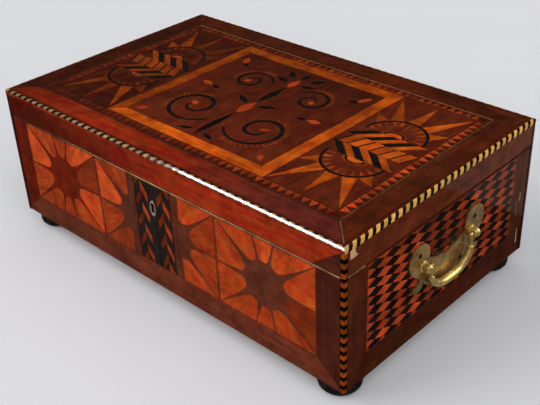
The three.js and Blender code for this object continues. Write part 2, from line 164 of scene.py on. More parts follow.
# Shade of each petal, anticlockwise: a star's from its right ray, a half-star's from its lower edge
PETAL_SHADES = {
    "left": (0.36, 0.9, 0.55, 0.6, 0.85, 0.62, 0.45, 0.6, 0.6, 0.8),
    "inner_left": (0.45, 0.5, 0.9, 0.5),
    "inner_right": (0.6, 0.45, 0.5, 0.72),
    "right": (0.66, 0.74, 0.95, 0.74, 0.6, 0.56, 0.6, 0.52, 0.52, 0.3),
}
# Varnished woods: the colour's name, how far it is darkened, and what sets its figure apart
VARNISHED = {
    # Straight-grained mahogany, polished: deep red with long, soft streaks
    "Red mahogany": ("front", 1.0, {"depth": 0.36, "run": 90, "glow": 0.2}),
    # Plainer mahogany, polished: brown and quiet
    "Brown mahogany": ("stiles", 1.0, {"depth": 0.42}),
    # Walnut border, polished: very dark, with warm flames
    "Border walnut": ("border", 1.0, {"depth": 0.45, "glow": 0.75, "mottle": 0.4}),
    # Walnut veneer, polished: dark brown with narrow streaks
    "End walnut": ("ends", 1.0, {"depth": 0.4}),
    # Edge rubbed through its varnish: pale, dry and ragged; on the box's top front edge it is also a painted highlight
    "Worn edge and painted highlight": ("bare", 0.55, {"depth": 0.7, "streak": 1.0, "run": 9.0, "gloss": 0.0, "mottle": 0.6}),
    # Padauk, polished: bright orange-red with short streaks
    "Padauk veneer": ("petals", 1.0, {"depth": 0.38, "streak": 4.0, "run": 36}),
    # Sawn brown veneer, polished: a dull ground for the petals
    "Brown star veneer": ("star", 1.0, {"depth": 0.35, "run": 40}),
    # Red-brown veneer, polished: an even ground for the lid's inlay
    "Lid ground veneer": ("ground", 1.0, {"depth": 0.35}),
    # Figured satinwood, stained: orange-yellow and cloudy
    "Amber veneer": ("amber", 1.0, {"depth": 0.4, "run": 45, "mottle": 0.45}),
    # Ebony, polished: black with hardly any figure
    "Ebony veneer": ("ebony", 1.0, {"depth": 0.3}),
    # Boxwood, cut small and rubbed: pale and close-grained
    "Boxwood stringing": ("boxwood", 1.0, {"depth": 0.18, "run": 20, "mottle": 0.12}),
    # Boxwood under yellowed varnish: honey-coloured
    "Honey stringing": ("honey", 1.0, {"depth": 0.25, "run": 20, "mottle": 0.2}),
    # Stained boxwood: orange, a little streaked
    "Amber stringing": ("amber", 0.9, {"depth": 0.3, "run": 20}),
    # Dark glue in a veneer joint: a thin, near-black line; on the lid rims' lower bevel it is painted shade in the
    # seam
    "Glue line": ("ebony", 1.6, {"depth": 0.2}),
}

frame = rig.load()
cad_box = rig.bounds()


def length(label, millimetres, about):
    """A length property, held in metres."""
    return FloatProperty(
        name=label,
        description=about,
        default=millimetres * MM,
        min=0.0,
        precision=5,
        subtype="DISTANCE",
        unit="LENGTH",
    )


def paint(label, colour, about):
    """A colour property, held as an sRGB hex value."""
    return StringProperty(name=label, description=about, default=colour, maxlen=7)


class InlaidBoxSizes(bpy.types.PropertyGroup):
    """Sizes that the veneers and fittings are drawn to."""

    edge_round: length("Edge round", 0.95, "Radius worn on the boards' outer edges")
    glue_line: length("Glue line", 0.3, "Width of the dark joint between two veneers")
    string_pair: length("Lid stringing pair", 10.6, "One pale and one black block of the lid's stringing")
    string_round: length("Lid stringing round", 2.4, "Radius worn on the lid's stringing")
    string_flat: length("Front stringing flat", 1.6, "Width planed off the arris of the front stringing")
    corner_pair: length("Corner stringing pair", 10.0, "One pale and one black block of the corners")
    star_reach: length("Star reach", 26.0, "From a star's middle to the petals' tips")
    lozenge_width: length("Lozenge width", 24.5, "Width of one lozenge on the ends")
    lozenge_height: length("Lozenge height", 9.95, "Height of one lozenge on the ends")
    tooth_pitch: length("Tooth pitch", 9.6, "One tooth of the lid's saw-tooth banding")
    chevron_pitch: length("Chevron pitch", 25.2, "One red and one black chevron beside the keyhole")
    roundel_radius: length("Roundel radius", 36.0, "Half-discs on the lid's end panels")
    scroll_width: length("Scroll width", 4.3, "Thickest part of the scrolls on the lid")
    brass_round: length("Brass round", 1.4, "Radius on the brass plates' edges")


class InlaidBoxColours(bpy.types.PropertyGroup):
    """Colours of the woods, brass and stage, as sRGB hex values."""

    front: paint("Lid front", "#A52C0F", "Red mahogany of the lid's front rim")
    stiles: paint("Front frame", "#6A2F1E", "Brown mahogany of the front's stiles and rail")
    border: paint("Lid border", "#5C230D", "Dark walnut of the lid's border")
    ends: paint("Ends", "#6A2C14", "Dark walnut of the ends and the lid's other rims")
    petals: paint("Petals", "#CE4A1A", "Orange-red veneer of the petals and lozenges")
    star: paint("Stars", "#57291B", "Brown veneer of the stars")
    ground: paint("Lid ground", "#652310", "Red-brown veneer of the lid's panels")
    amber: paint("Amber", "#C6520D", "Orange-yellow veneer of the centre frame and rays")
    ebony: paint("Ebony", "#17110E", "Black veneer")
    boxwood: paint("Boxwood", "#EDB27C", "Pale blocks of the front stringing")
    honey: paint("Honey", "#E8A850", "Pale blocks of the other stringing")
    inside: paint("Inside", "#8A6138", "Plain wood inside the box")
    bare: paint("Bare wood", "#D9A878", "Wood under chipped veneer")
    brass: paint("Brass", "#D2B468", "Polished parts of the brass")
    tarnish: paint("Tarnish", "#8C7138", "Dull parts of the brass")
    plate: paint("Plate", "#B08A4A", "Clean patches of the tarnished back plates")
    plate_tarnish: paint("Plate tarnish", "#6E4D22", "Brown patches of the tarnished back plates")
    pale_metal: paint("Pale metal", "#F2D6C2", "Thin ring round the keyhole")
    feet: paint("Feet", "#0E0D0D", "Ebonised feet")
    floor: paint("Floor", "#DCDDE1", "Studio floor")


def linear(colour):
    """Turns an sRGB hex colour into the linear RGBA of the shader sockets."""
    shares = [int(colour[i : i + 2], 16) / 255 for i in (1, 3, 5)]
    return [s / 12.92 if s <= 0.04045 else ((s + 0.055) / 1.055) ** 2.4 for s in shares] + [1.0]


def shaded(colour, factor):
    """A linear colour made darker or lighter."""
    return [min(1.0, channel * factor) for channel in colour[:3]] + [1.0]


def add(tree, kind, inputs=None, **settings):
    """Adds a shader node with its settings; an input takes a value, an output or a node's first output."""
    made = tree.nodes.new("ShaderNode" + kind)
    for key, value in settings.items():
        setattr(made, key, value)
    for key, value in (inputs or {}).items():
        if isinstance(value, bpy.types.Node):
            value = value.outputs[0]
        if isinstance(value, bpy.types.NodeSocket):
            tree.links.new(value, made.inputs[key])
        else:
            made.inputs[key].default_value = value
    return made


def pattern(tree, vector, size, detail=3.0, roughness=0.55, distortion=0.0):
    """An uneven pattern of marks with a real size in millimetres: one for all ways, or along and across."""
    if isinstance(size, tuple):
        scale = (1000 / size[0], 1000 / size[1], 1)
    else:
        scale = (1000 / size, 1000 / size, 1000 / size)
    settings = {
        "Vector": add(tree, "Mapping", {"Vector": vector, "Scale": scale}),
        "Scale": 1.0,
        "Detail": detail,
        "Roughness": roughness,
        "Distortion": distortion,
    }
    return add(tree, "TexNoise", settings)


def new_tree(name):
    """An empty node material and its tree."""
    material = bpy.data.materials.new(name)
    material.use_nodes = True
    material.node_tree.nodes.clear()
    return material, material.node_tree


def close(tree, shader):
    """Links a shader to the material's output."""
    tree.links.new(shader.outputs[0], add(tree, "OutputMaterial").inputs[0])


def varnished(name, colour, depth=0.5, streak=4.5, run=80.0, gloss=0.45, mottle=0.35, glow=0.25):
    """Old veneer under varnish: streaks along the grain, dark pores, clouded polish, wavy reflections."""
    material, tree = new_tree(name)
    grain = add(tree, "UVMap", uv_map="Grain")
    place = add(tree, "TexCoord").outputs["Object"]
    tint = add(tree, "Attribute", attribute_name="tint").outputs["Fac"]
    fade = add(tree, "Attribute", attribute_name="fade").outputs["Fac"]
    # Sizes in millimetres; real pores are finer, and are drawn as coarse as the render can show
    pore, flame, cloud, ripple = (9.0, 0.8), 142.86, 19.231, 26.316
    figure = pattern(tree, grain, (run, streak), 5.0, 0.65, 0.4)
    bands = pattern(tree, grain, (run * 1.6, streak * 3.5), 3.0, 0.5, 0.8)
    drift = pattern(tree, grain, (run * 0.5, streak * 2), 3.0, 0.6)
    pores = pattern(tree, grain, pore, 2.0, 0.5)
    flames = pattern(tree, place, flame, 3.0, 0.55, 0.5)
    clouds = pattern(tree, place, cloud, 5.0, 0.65)
    waves = pattern(tree, place, ripple, 2.0, 0.5)
    streaks = add(tree, "Mix", {0: 0.6, 2: bands, 3: figure})
    light = add(tree, "MapRange", {0: streaks, 1: 0.36, 2: 0.64})
    tones = {0: light, 6: shaded(colour, 1.0 - depth), 7: shaded(colour, 1.0 + depth * 0.6)}
    tone = add(tree, "Mix", tones, data_type="RGBA").outputs[2]
    warm = [min(1.0, colour[0] * 1.7), colour[1] * 1.25, colour[2] * 0.8, 1.0]
    glowing = add(tree, "MapRange", {0: flames, 1: 0.5, 2: 0.72, 3: 0.0, 4: glow})
    tone = add(tree, "Mix", {0: glowing, 6: tone, 7: warm}, data_type="RGBA").outputs[2]
    cloudy = add(tree, "MapRange", {0: clouds, 1: 0.34, 2: 0.62, 3: 1.0 - mottle, 4: 1.0 + mottle * 0.4})
    pitted = add(tree, "MapRange", {0: pores, 1: 0.56, 2: 0.74, 3: 1.0, 4: 0.6})
    dark = add(tree, "Math", {0: cloudy, 1: pitted}, operation="MULTIPLY")
    # Each face's tint sets its tone; on some pieces it also carries painted shade and highlight
    value = add(tree, "Math", {0: dark, 1: tint}, operation="MULTIPLY")
    kept = add(tree, "Math", {0: 1.0, 1: fade}, operation="SUBTRACT")
    hue = add(tree, "MapRange", {0: drift, 1: 0.32, 2: 0.68, 3: 0.493, 4: 0.511})
    tinted = add(tree, "HueSaturation", {"Color": tone, "Value": value, "Saturation": kept, "Hue": hue})
    lift = add(tree, "Bump", {"Height": waves, "Strength": 0.05, "Distance": 0.004})
    open_grain = {"Height": pores, "Strength": 0.1, "Distance": 0.0004, "Normal": lift}
    finish = {
        "Base Color": tinted,
        "Roughness": add(tree, "MapRange", {0: clouds, 1: 0.35, 2: 0.65, 3: 0.55, 4: 0.4}),
        "Specular IOR Level": 0.02,
        "Coat Weight": gloss,
        "Coat Roughness": 0.07,
        "Normal": add(tree, "Bump", open_grain),
        "Coat Normal": lift,
    }
    close(tree, add(tree, "BsdfPrincipled", finish))
    return material


def planed(name, colour, depth=0.3, shine=0.25):
    """Unvarnished wood: a matt, dry surface with soft streaks and open pores."""
    material, tree = new_tree(name)
    grain = add(tree, "UVMap", uv_map="Grain")
    streak, pore = (90, 2.5), (8.0, 0.6)
    figure = pattern(tree, grain, streak, 5.0, 0.6, 0.5)
    pores = pattern(tree, grain, pore, 2.0, 0.5)
    light = add(tree, "MapRange", {0: figure, 1: 0.3, 2: 0.7})
    tones = {0: light, 6: shaded(colour, 1 - depth), 7: shaded(colour, 1 + depth * 0.5)}
    tone = add(tree, "Mix", tones, data_type="RGBA").outputs[2]
    pitted = add(tree, "MapRange", {0: pores, 1: 0.55, 2: 0.72, 3: 1.0, 4: 0.7})
    grey = add(tree, "CombineColor", {0: pitted, 1: pitted, 2: pitted})
    pitting = {0: 1.0, 6: tone, 7: grey}
    tone = add(tree, "Mix", pitting, data_type="RGBA", blend_type="MULTIPLY").outputs[2]
    finish = {
        "Base Color": tone,
        "Roughness": add(tree, "MapRange", {0: figure, 1: 0.3, 2: 0.7, 3: 0.68, 4: 0.85}),
        "Specular IOR Level": shine,
        "Normal": add(tree, "Bump", {"Height": pores, "Strength": 0.25, "Distance": 0.0004}),
    }
    close(tree, add(tree, "BsdfPrincipled", finish))
    return material


def cast_metal(name, bright, dull):
    """Old cast brass: polished high parts, brown tarnish in patches and an uneven skin."""
    material, tree = new_tree(name)
    place = add(tree, "TexCoord").outputs["Object"]
    patch, speck, ripple = 14.286, 2.381, 9.0909
    patches = pattern(tree, place, patch, 5.0, 0.65)
    specks = pattern(tree, place, speck, 3.0, 0.6)
    skin = pattern(tree, place, ripple, 2.0, 0.45)
    worn = add(tree, "Mix", {0: 0.7, 2: specks, 3: patches})
    clean = add(tree, "MapRange", {0: worn, 1: 0.4, 2: 0.58})
    finish = {
        "Base Color": add(tree, "Mix", {0: clean, 6: dull, 7: bright}, data_type="RGBA").outputs[2],
        "Metallic": 0.75,
        "Roughness": add(tree, "MapRange", {0: worn, 1: 0.38, 2: 0.62, 3: 0.4, 4: 0.2}),
        "Normal": add(tree, "Bump", {"Height": skin, "Strength": 0.1, "Distance": 0.0012}),
    }
    close(tree, add(tree, "BsdfPrincipled", finish))
    return material


def polished_black(name, colour):
    """Ebonised wood: black polish, glossy, rubbed greyer in patches."""
    material, tree = new_tree(name)
    place = add(tree, "TexCoord").outputs["Object"]
    rub = 8.3333
    rubs = pattern(tree, place, rub, 4.0, 0.6)
    rubbed = add(tree, "MapRange", {0: rubs, 1: 0.45, 2: 0.75})
    tones = {0: rubbed, 6: colour, 7: shaded(colour, 3.2)}
    finish = {
        "Base Color": add(tree, "Mix", tones, data_type="RGBA").outputs[2],
        "Roughness": add(tree, "MapRange", {0: rubs, 1: 0.3, 2: 0.7, 3: 0.16, 4: 0.42}),
        "Coat Weight": 0.4,
        "Coat Roughness": 0.08,
    }
    close(tree, add(tree, "BsdfPrincipled", finish))
    return material


def studio_floor(name, colour):
    """Pale studio paper, almost even, with a faint mottle."""
    material, tree = new_tree(name)
    place = add(tree, "TexCoord").outputs["Object"]
    mottle = 333.33
    cloud = pattern(tree, place, mottle, 3.0, 0.5)
    light = add(tree, "MapRange", {0: cloud, 1: 0.3, 2: 0.7})
    tones = {0: light, 6: shaded(colour, 0.985), 7: colour}
    tone = add(tree, "Mix", tones, data_type="RGBA").outputs[2]
    paper = {"Base Color": tone, "Roughness": 0.8, "Specular IOR Level": 0.2}
    close(tree, add(tree, "BsdfPrincipled", paper))
    return material


def material(name):
    """The named material, made on first use."""
    if name in bpy.data.materials:
        return bpy.data.materials[name]
    colours = bpy.context.scene.inlaid_box_colours

    def tone(key, factor=1.0):
        return shaded(linear(getattr(colours, key)), factor)

    if name in VARNISHED:
        key, factor, settings = VARNISHED[name]
        return varnished(name, tone(key, factor), **settings)
    recipes = {
        "Planed inside wood": lambda: planed(name, tone("inside")),
        "Bare chipped wood": lambda: planed(name, tone("bare"), depth=0.35),
        "Cast brass": lambda: cast_metal(name, tone("plate"), tone("plate_tarnish")),
        "Rubbed brass and painted highlight": lambda: cast_metal(name, tone("brass"), tone("tarnish")),
        "Pale metal": lambda: cast_metal(name, tone("pale_metal"), tone("pale_metal", 0.55)),
        # Painted shade: a near-black matt finish for the shade inside a nail hole
        "Dark nail hole": lambda: planed(name, tone("tarnish", 0.04), shine=0.02),
        "Ebonised foot": lambda: polished_black(name, tone("feet")),
        "Studio floor": lambda: studio_floor(name, tone("floor")),
    }
    return recipes[name]()


def side_axes(side):
    """A side's own axes (along, up, outwards) from the middle of its lower edge, as a matrix."""
    low = [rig.box("box_" + s)[0] for s in SIDES]
    high = [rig.box("box_" + s)[1] for s in SIDES]
    middle = (low[0].y + high[2].y) / 2
    starts = {
        "front": Vector((0, low[0].y, low[0].z)),
        "right": Vector((high[1].x, middle, low[1].z)),
        "back": Vector((0, high[2].y, low[2].z)),
        "left": Vector((low[3].x, middle, low[3].z)),
        "top": Vector((0, middle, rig.box("lid_top")[1].z)),
    }
    if side == "top":
        return Matrix.Translation(starts[side])
    turned = Matrix.Rotation(TURN[side] * math.pi / 2, 4, "Z") @ Matrix.Rotation(math.pi / 2, 4, "X")
    return Matrix.Translation(starts[side]) @ turned


def local_box(side, *nodes):
    """Lowest and highest corner of some nodes in a side's own axes."""
    back = side_axes(side).inverted()
    corners = []
    for node in nodes:
        low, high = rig.box(node)
        corners += [back @ low, back @ high]
    lowest = Vector([min(c[i] for c in corners) for i in range(3)])
    highest = Vector([max(c[i] for c in corners) for i in range(3)])
    return lowest, highest


def make_piece(name, bm, woods, body, slot, replaced, smooth=None):
    """Turns a bmesh into an object that rides on a body and stands for its CAD nodes."""
    mesh = bpy.data.meshes.new(name)
    bm.to_mesh(mesh)
    bm.free()
    for wood in woods:
        mesh.materials.append(material(wood))
    if smooth:
        mesh.shade_smooth()
        mesh.set_sharp_from_angle(angle=math.radians(smooth))
    piece = bpy.data.objects.new(name, mesh)
    bpy.context.scene.collection.objects.link(piece)
    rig.ride(piece, body)
    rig.replaces(piece, *replaced)
    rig.slot(piece, slot)
    return piece


def merged_copy(node):
    """A welded copy of a CAD node's triangles, with its flat faces joined."""
    bm = bmesh.new()
    bm.from_mesh(frame["nodes"][node].data)
    bmesh.ops.remove_doubles(bm, verts=bm.verts, dist=0.01 * MM)
    bmesh.ops.dissolve_limit(bm, angle_limit=math.radians(0.5), verts=bm.verts, edges=bm.edges)
    bm.normal_update()
    return bm


def outermost(bm, least=2):
    """Edges that lie on at least two outermost planes of the mesh."""
    low = [min(v.co[i] for v in bm.verts) for i in range(3)]
    high = [max(v.co[i] for v in bm.verts) for i in range(3)]
    found = []
    for edge in bm.edges:
        planes = 0
        for i in range(3):
            ends = [v.co[i] for v in edge.verts]
            planes += all(abs(e - low[i]) < 0.02 * MM for e in ends)
            planes += all(abs(e - high[i]) < 0.02 * MM for e in ends)
        if planes >= least:
            found.append(edge)
    return found


def round_off(bm, edges, radius, segments=3):
    """Rounds the given edges over and gives the new faces back."""
    made = bmesh.ops.bevel(
        bm,
        geom=edges,
        offset=radius,
        offset_type="OFFSET",
        segments=segments,
        profile=0.5,
        affect="EDGES",
        clamp_overlap=True,
        material=-1,
    )
    for face in made["faces"]:
        face.smooth = True
    bm.normal_update()
    return made["faces"]


def cut_plane(bm, point, normal):
    """Cuts the faces along a plane, keeping both sides."""
    geom = bm.verts[:] + bm.edges[:] + bm.faces[:]
    bmesh.ops.bisect_plane(bm, geom=geom, dist=0.001 * MM, plane_co=point, plane_no=normal)


def spread_grain(face, layer, grain, offset):
    """Writes a face's grain map in metres: the first axis runs along the grain."""
    along = grain - face.normal * grain.dot(face.normal)
    if along.length < 0.2:
        along = face.normal.orthogonal()
    along.normalize()
    across = face.normal.cross(along)
    for loop in face.loops:
        spot = loop.vert.co
        loop[layer].uv = (spot.dot(along) + offset[0], spot.dot(across) + offset[1])


def dress(bm, name, rule):
    """Gives each face its wood, grain, shade and fading; a shade may be a function of the point."""
    chance = random.Random(name)
    offset = (chance.uniform(0, 4), chance.uniform(0, 4))
    layer = bm.loops.layers.uv.new("Grain")
    tint = bm.loops.layers.float.new("tint")
    fade = bm.loops.layers.float.new("fade")
    for face in bm.faces:
        wood, grain, shade, shift, *graded = rule(face.calc_center_median(), face.normal)
        face.material_index = wood
        for loop in face.loops:
            loop[tint] = shade(loop.vert.co) if callable(shade) else shade
            loop[fade] = graded[0](loop.vert.co) if graded else 0.0
        spread_grain(face, layer, Vector(grain), (offset[0] + shift * 0.37, offset[1] + shift * 0.53))


def area(points):
    """Signed area of a flat outline."""
    return sum(a.x * b.y - b.x * a.y for a, b in zip(points, points[1:] + points[:1])) / 2


def drawn_in(points, distance):
    """An outline drawn in by a distance all round; it runs counter-clockwise."""
    drawn = []
    count = len(points)
    for i, spot in enumerate(points):
        before = (spot - points[i - 1]).normalized()
        after = (points[(i + 1) % count] - spot).normalized()
        first = Vector((-before.y, before.x))
        second = Vector((-after.y, after.x))
        reach = distance / max(0.3, 1 + first.dot(second))
        drawn.append(spot + (first + second) * reach)
    return drawn


def within(outline, spot):
    """Whether a point lies inside an outline."""
    inside = False
    for a, b in zip(outline, outline[1:] + outline[:1]):
        if (a.y > spot.y) != (b.y > spot.y):
            if spot.x < a.x + (b.x - a.x) * (spot.y - a.y) / (b.y - a.y):
                inside = not inside
    return inside


class Inlay:
    """A flat sheet of veneers, each tile let into the ones laid before it."""

    def __init__(self, seed):
        self.chance = random.Random(seed)
        self.tiles = []
        self.woods = ["Glue line"]

    def lay(self, outline, wood, grain=0.0, shade=1.0, vary=0.1, joint=True):
        """Lays one tile; its grain runs at an angle, and a dark joint is left round it."""
        points = [Vector(p) for p in outline]
        if area(points) < 0:
            points.reverse()
        if wood not in self.woods:
            self.woods.append(wood)
        offset = (self.chance.uniform(0, 4), self.chance.uniform(0, 4))
        tone = shade if callable(shade) else shade * (1 + self.chance.uniform(-vary, vary))
        if joint:
            self.tiles.append((points, 0, grain, 1.0, offset))
            points = drawn_in(points, bpy.context.scene.inlaid_box_sizes.glue_line / 2)
            if area(points) <= 0:
                return
        self.tiles.append((points, self.woods.index(wood), grain, tone, offset))

    def topmost(self, spot):
        """The tile laid last over a point, or None outside the sheet."""
        for tile, (low, high) in zip(reversed(self.tiles), reversed(self.reach)):
            if low.x <= spot.x <= high.x and low.y <= spot.y <= high.y and within(tile[0], spot):
                return tile
        return None

    def sheet(self, thickness, placing):
        """The tiles as one sheet, face outwards at zero height, placed by a matrix."""
        points, loops = [], []
        for outline, *_ in self.tiles:
            loops.append(list(range(len(points), len(points) + len(outline))))
            points += [p / MM for p in outline]
        spots, _, cells, *_ = delaunay_2d_cdt(points, [], loops, 0, 1e-4)
        self.reach = []
        for outline, *_ in self.tiles:
            low = Vector((min(p.x for p in outline), min(p.y for p in outline)))
            high = Vector((max(p.x for p in outline), max(p.y for p in outline)))
            self.reach.append((low, high))
        bm = bmesh.new()
        layer = bm.loops.layers.uv.new("Grain")
        tint = bm.loops.layers.float.new("tint")
        made = [bm.verts.new((s.x * MM, s.y * MM, 0)) for s in spots]
        for cell in cells:
            middle = sum((made[i].co for i in cell), Vector()) / len(cell)
            tile = self.topmost(middle.xy)
            if tile is None:
                continue
            face = bm.faces.new([made[i] for i in cell])
            _, face.material_index, grain, tone, offset = tile
            turn = Matrix.Rotation(-grain, 2)
            for loop in face.loops:
                spot = loop.vert.co.xy
                loop[layer].uv = turn @ spot + Vector(offset)
                loop[tint] = tone(spot) if callable(tone) else tone
        bmesh.ops.delete(bm, geom=[v for v in bm.verts if not v.link_faces], context="VERTS")
        bm.normal_update()
        if sum(f.normal.z for f in bm.faces) < 0:
            bmesh.ops.reverse_faces(bm, faces=bm.faces)
        bmesh.ops.solidify(bm, geom=bm.faces[:], thickness=thickness)
        high = max(v.co.z for v in bm.verts)
        bmesh.ops.translate(bm, verts=bm.verts, vec=(0, 0, -high))
        bm.transform(placing)
        bmesh.ops.recalc_face_normals(bm, faces=bm.faces)
        return bm


def rectangle(x0, y0, x1, y1):
    """Outline of an upright rectangle."""
    return [(x0, y0), (x1, y0), (x1, y1), (x0, y1)]


def arc(centre, radius, start, end, steps=24):
    """Points along an arc, angles in radians."""
    points = []
    for i in range(steps + 1):
        angle = start + (end - start) * i / steps
        points.append(Vector((centre[0] + radius * math.cos(angle), centre[1] + radius * math.sin(angle))))
    return points


def petal(centre, first, second, aims, reach):
    """Outline of a petal between two rays of a star: its tip points at the middle."""
    one = (first - centre).normalized()
    two = (second - centre).normalized()
    axis = (one + two).normalized()
    tip = centre + axis * reach
    spread = reach * math.tan(math.acos(max(-1.0, min(1.0, axis.dot(one)))))
    tip_width, fullness, pull = 0.6, 0.58, 0.14
    across = (two - one).normalized() * spread * tip_width
    outline = []
    first_side = (toward(first, second), aims[0], tip - across)
    second_side = (toward(second, first), aims[1], tip + across)
    for foot, aim, shoulder in (first_side, second_side):
        belly = foot.lerp(aim, fullness).lerp(tip, pull)
        side = interpolate_bezier(foot.to_3d(), belly.to_3d(), shoulder.to_3d(), tip.to_3d(), 14)
        side = [Vector(p).to_2d() for p in side]
        outline += side if not outline else list(reversed(side))[1:]
    return outline, axis


def toward(foot, other, gap=0.7 * MM):
    """A point a little way from one foot towards another."""
    return foot + (other - foot).normalized() * gap


def lay_star(sheet, half_width, half_height, reach, shades, ground):
    """A ten-rayed star across the whole panel, with a petal between each two rays."""
    sheet.lay(rectangle(-half_width, -half_height, half_width, half_height), *ground)
    near = 13 * MM
    rays = [
        (half_width, 0),
        (half_width, half_height),
        (near, half_height),
        (-near, half_height),
        (-half_width, half_height),
        (-half_width, 0),
        (-half_width, -half_height),
        (-near, -half_height),
        (near, -half_height),
        (half_width, -half_height),
    ]
    rays = [Vector(r) for r in rays]
    centre = Vector((0, 0))
    for first, second, shade in zip(rays, rays[1:] + rays[:1], shades):
        outline, axis = petal(centre, first, second, (centre, centre), reach)
        sheet.lay(outline, "Padauk veneer", math.atan2(axis.y, axis.x), shade)


def lay_half_star(sheet, half_width, half_height, reach, shades, mirror):
    """Half a star rising from a plain band beside the keyhole."""
    ground = rectangle(-half_width, -half_height, half_width, half_height)
    sheet.lay(ground, "Brown star veneer", math.pi / 2)
    band = 10.5 * MM - half_width
    rays = [(band, -half_height), (half_width, -half_height), (half_width, 0)]
    rays += [(half_width, half_height), (band, half_height)]
    rays = [Vector(r) for r in rays]
    centre = Vector((-half_width, 0))
    foot = Vector((band, 0))
    for i in range(4):
        first, second = rays[i], rays[i + 1]
        aims = (foot if i == 0 else centre, foot if i == 3 else centre)
        outline, axis = petal(centre, first, second, aims, reach)
        outline = [Vector((p.x * mirror, p.y)) for p in outline]
        sheet.lay(outline, "Padauk veneer", math.atan2(axis.y, axis.x * mirror), shades[i])


def lay_chevrons(sheet, half_width, half_height, pitch):
    """Black strip with two columns of slanted red slips on each side of a plain middle."""
    ground = rectangle(-half_width, -half_height, half_width, half_height)
    sheet.lay(ground, "Ebony veneer", math.pi / 2, 2.2)
    column = 9.4 * MM
    start = 7.2 * MM
    rise = 13.0 * MM
    band = 10.0 * MM
    drop = 0.4 * pitch
    # Painted sheen: falling slips are made lighter than climbing ones, as their grain catches the light differently
    climbing, falling = 0.3, 0.48
    for side in (-1, 1):
        for place in range(2):
            near = side * (start + place * column)
            far = side * (start + (place + 1) * column)
            left, right = min(near, far), max(near, far)
            climbs = (side < 0) == (place == 1)
            low, high = (0.0, rise) if climbs else (rise, 0.0)
            for step in range(-5, 6):
                base = step * pitch - (drop if place == 1 else 0.0)
                outline = [
                    (left, base + low),
                    (right, base + high),
                    (right, base + high + band),
                    (left, base + low + band),
                ]
                outline = clipped(outline, -half_height, half_height)
                if len(outline) > 2:
                    lean = math.atan2(high - low, right - left)
                    sheet.lay(outline, "Padauk veneer", lean, climbing if climbs else falling, vary=0.35)


def clipped(outline, low, high, axis=1):
    """The part of a convex outline between two limits on one axis."""
    for limit, sign in ((low, 1), (high, -1)):
        kept = []
        for a, b in zip(outline, outline[1:] + outline[:1]):
            inside_a = (a[axis] - limit) * sign >= 0
            inside_b = (b[axis] - limit) * sign >= 0
            if inside_a:
                kept.append(tuple(a))
            if inside_a != inside_b:
                share = (limit - a[axis]) / (b[axis] - a[axis])
                kept.append((a[0] + (b[0] - a[0]) * share, a[1] + (b[1] - a[1]) * share))
        outline = kept
        if len(outline) < 3:
            return []
    if abs(area([Vector(p) for p in outline])) < 0.4 * MM * MM:
        return []
    return outline


def lay_harlequin(sheet, half_width, half_height, wide, high):
    """Red and black lozenges over the whole panel."""
    sheet.lay(rectangle(-half_width, -half_height, half_width, half_height), "Ebony veneer")
    columns = int(half_width * 2 / wide) + 2
    rows = int(half_height * 2 / high) + 3
    shaded_width = 26 * MM
    middle_shade, fall, top_row, behind_handle = 0.55, 0.13, 0.7, 0.55
    for column in range(columns * 2):
        for row in range(rows):
            x = -half_width + column * wide / 2
            y = half_height - row * high
            red = column % 2 == 0
            y -= 0 if red else high / 2
            outline = [(x - wide / 2, y), (x, y - high / 2), (x + wide / 2, y), (x, y + high / 2)]
            outline = clipped(outline, -half_width, half_width, 0)
            if outline:
                outline = clipped(outline, -half_height, half_height, 1)
            if outline and red:
                shade = middle_shade - fall * x / half_width
                shade *= top_row if y > half_height - high / 2 else 1.0
                shade *= behind_handle if abs(x) < shaded_width and y > 0 else 1.0
                sheet.lay(outline, "Padauk veneer", shade=shade, vary=0.42)
            elif outline:
                sheet.lay(outline, "Ebony veneer", vary=0.3)


def lay_banding(sheet, outer_x, outer_y, inner_x, inner_y, pitch):
    """Mitred saw-tooth banding: amber teeth that point outwards on a dark ground."""
    # Along, outwards, half lengths, reaches, shade of the first and last tooth, shade of the pale line
    runs = (
        (Vector((1, 0)), Vector((0, -1)), outer_x, inner_x, outer_y, inner_y, (0.14, 0.5), 0.07),
        (Vector((0, 1)), Vector((1, 0)), outer_y, inner_y, outer_x, inner_x, (0.7, 0.6), 0.25),
        (Vector((-1, 0)), Vector((0, 1)), outer_x, inner_x, outer_y, inner_y, (0.4, 0.25), 0.5),
        (Vector((0, -1)), Vector((-1, 0)), outer_y, inner_y, outer_x, inner_x, (0.3, 0.2), 0.1),
    )
    edge = 0.6 * MM
    for along, out, long_out, long_in, far, near, (first, last), pale in runs:
        ground = [along * -long_out + out * far, along * long_out + out * far]
        ground += [along * long_in + out * near, along * -long_in + out * near]
        lean = math.atan2(along.y, along.x)
        sheet.lay(ground, "Lid ground veneer", lean, 0.5)
        reach = long_out - 2 * edge
        line_run = [along * -reach + out * (far - edge), along * reach + out * (far - edge)]
        line_run += [along * reach + out * (far - 2 * edge), along * -reach + out * (far - 2 * edge)]
        sheet.lay(line_run, "Boxwood stringing", lean, pale, joint=False)
        teeth = int(long_in * 2 / pitch)
        step = long_in * 2 / teeth
        line = 1.2 * MM
        for i in range(teeth):
            middle = -long_in + step * (i + 0.5)
            base, tip = step * 0.46, step * 0.05
            tooth = [
                along * (middle - base) + out * (near + line),
                along * (middle + base) + out * (near + line),
                along * (middle + tip) + out * (far - 2 * line),
                along * (middle - tip) + out * (far - 2 * line),
            ]
            tone = first + (last - first) * i / teeth
            sheet.lay(tooth, "Padauk veneer", lean + math.pi / 2, tone, vary=0.4, joint=False)


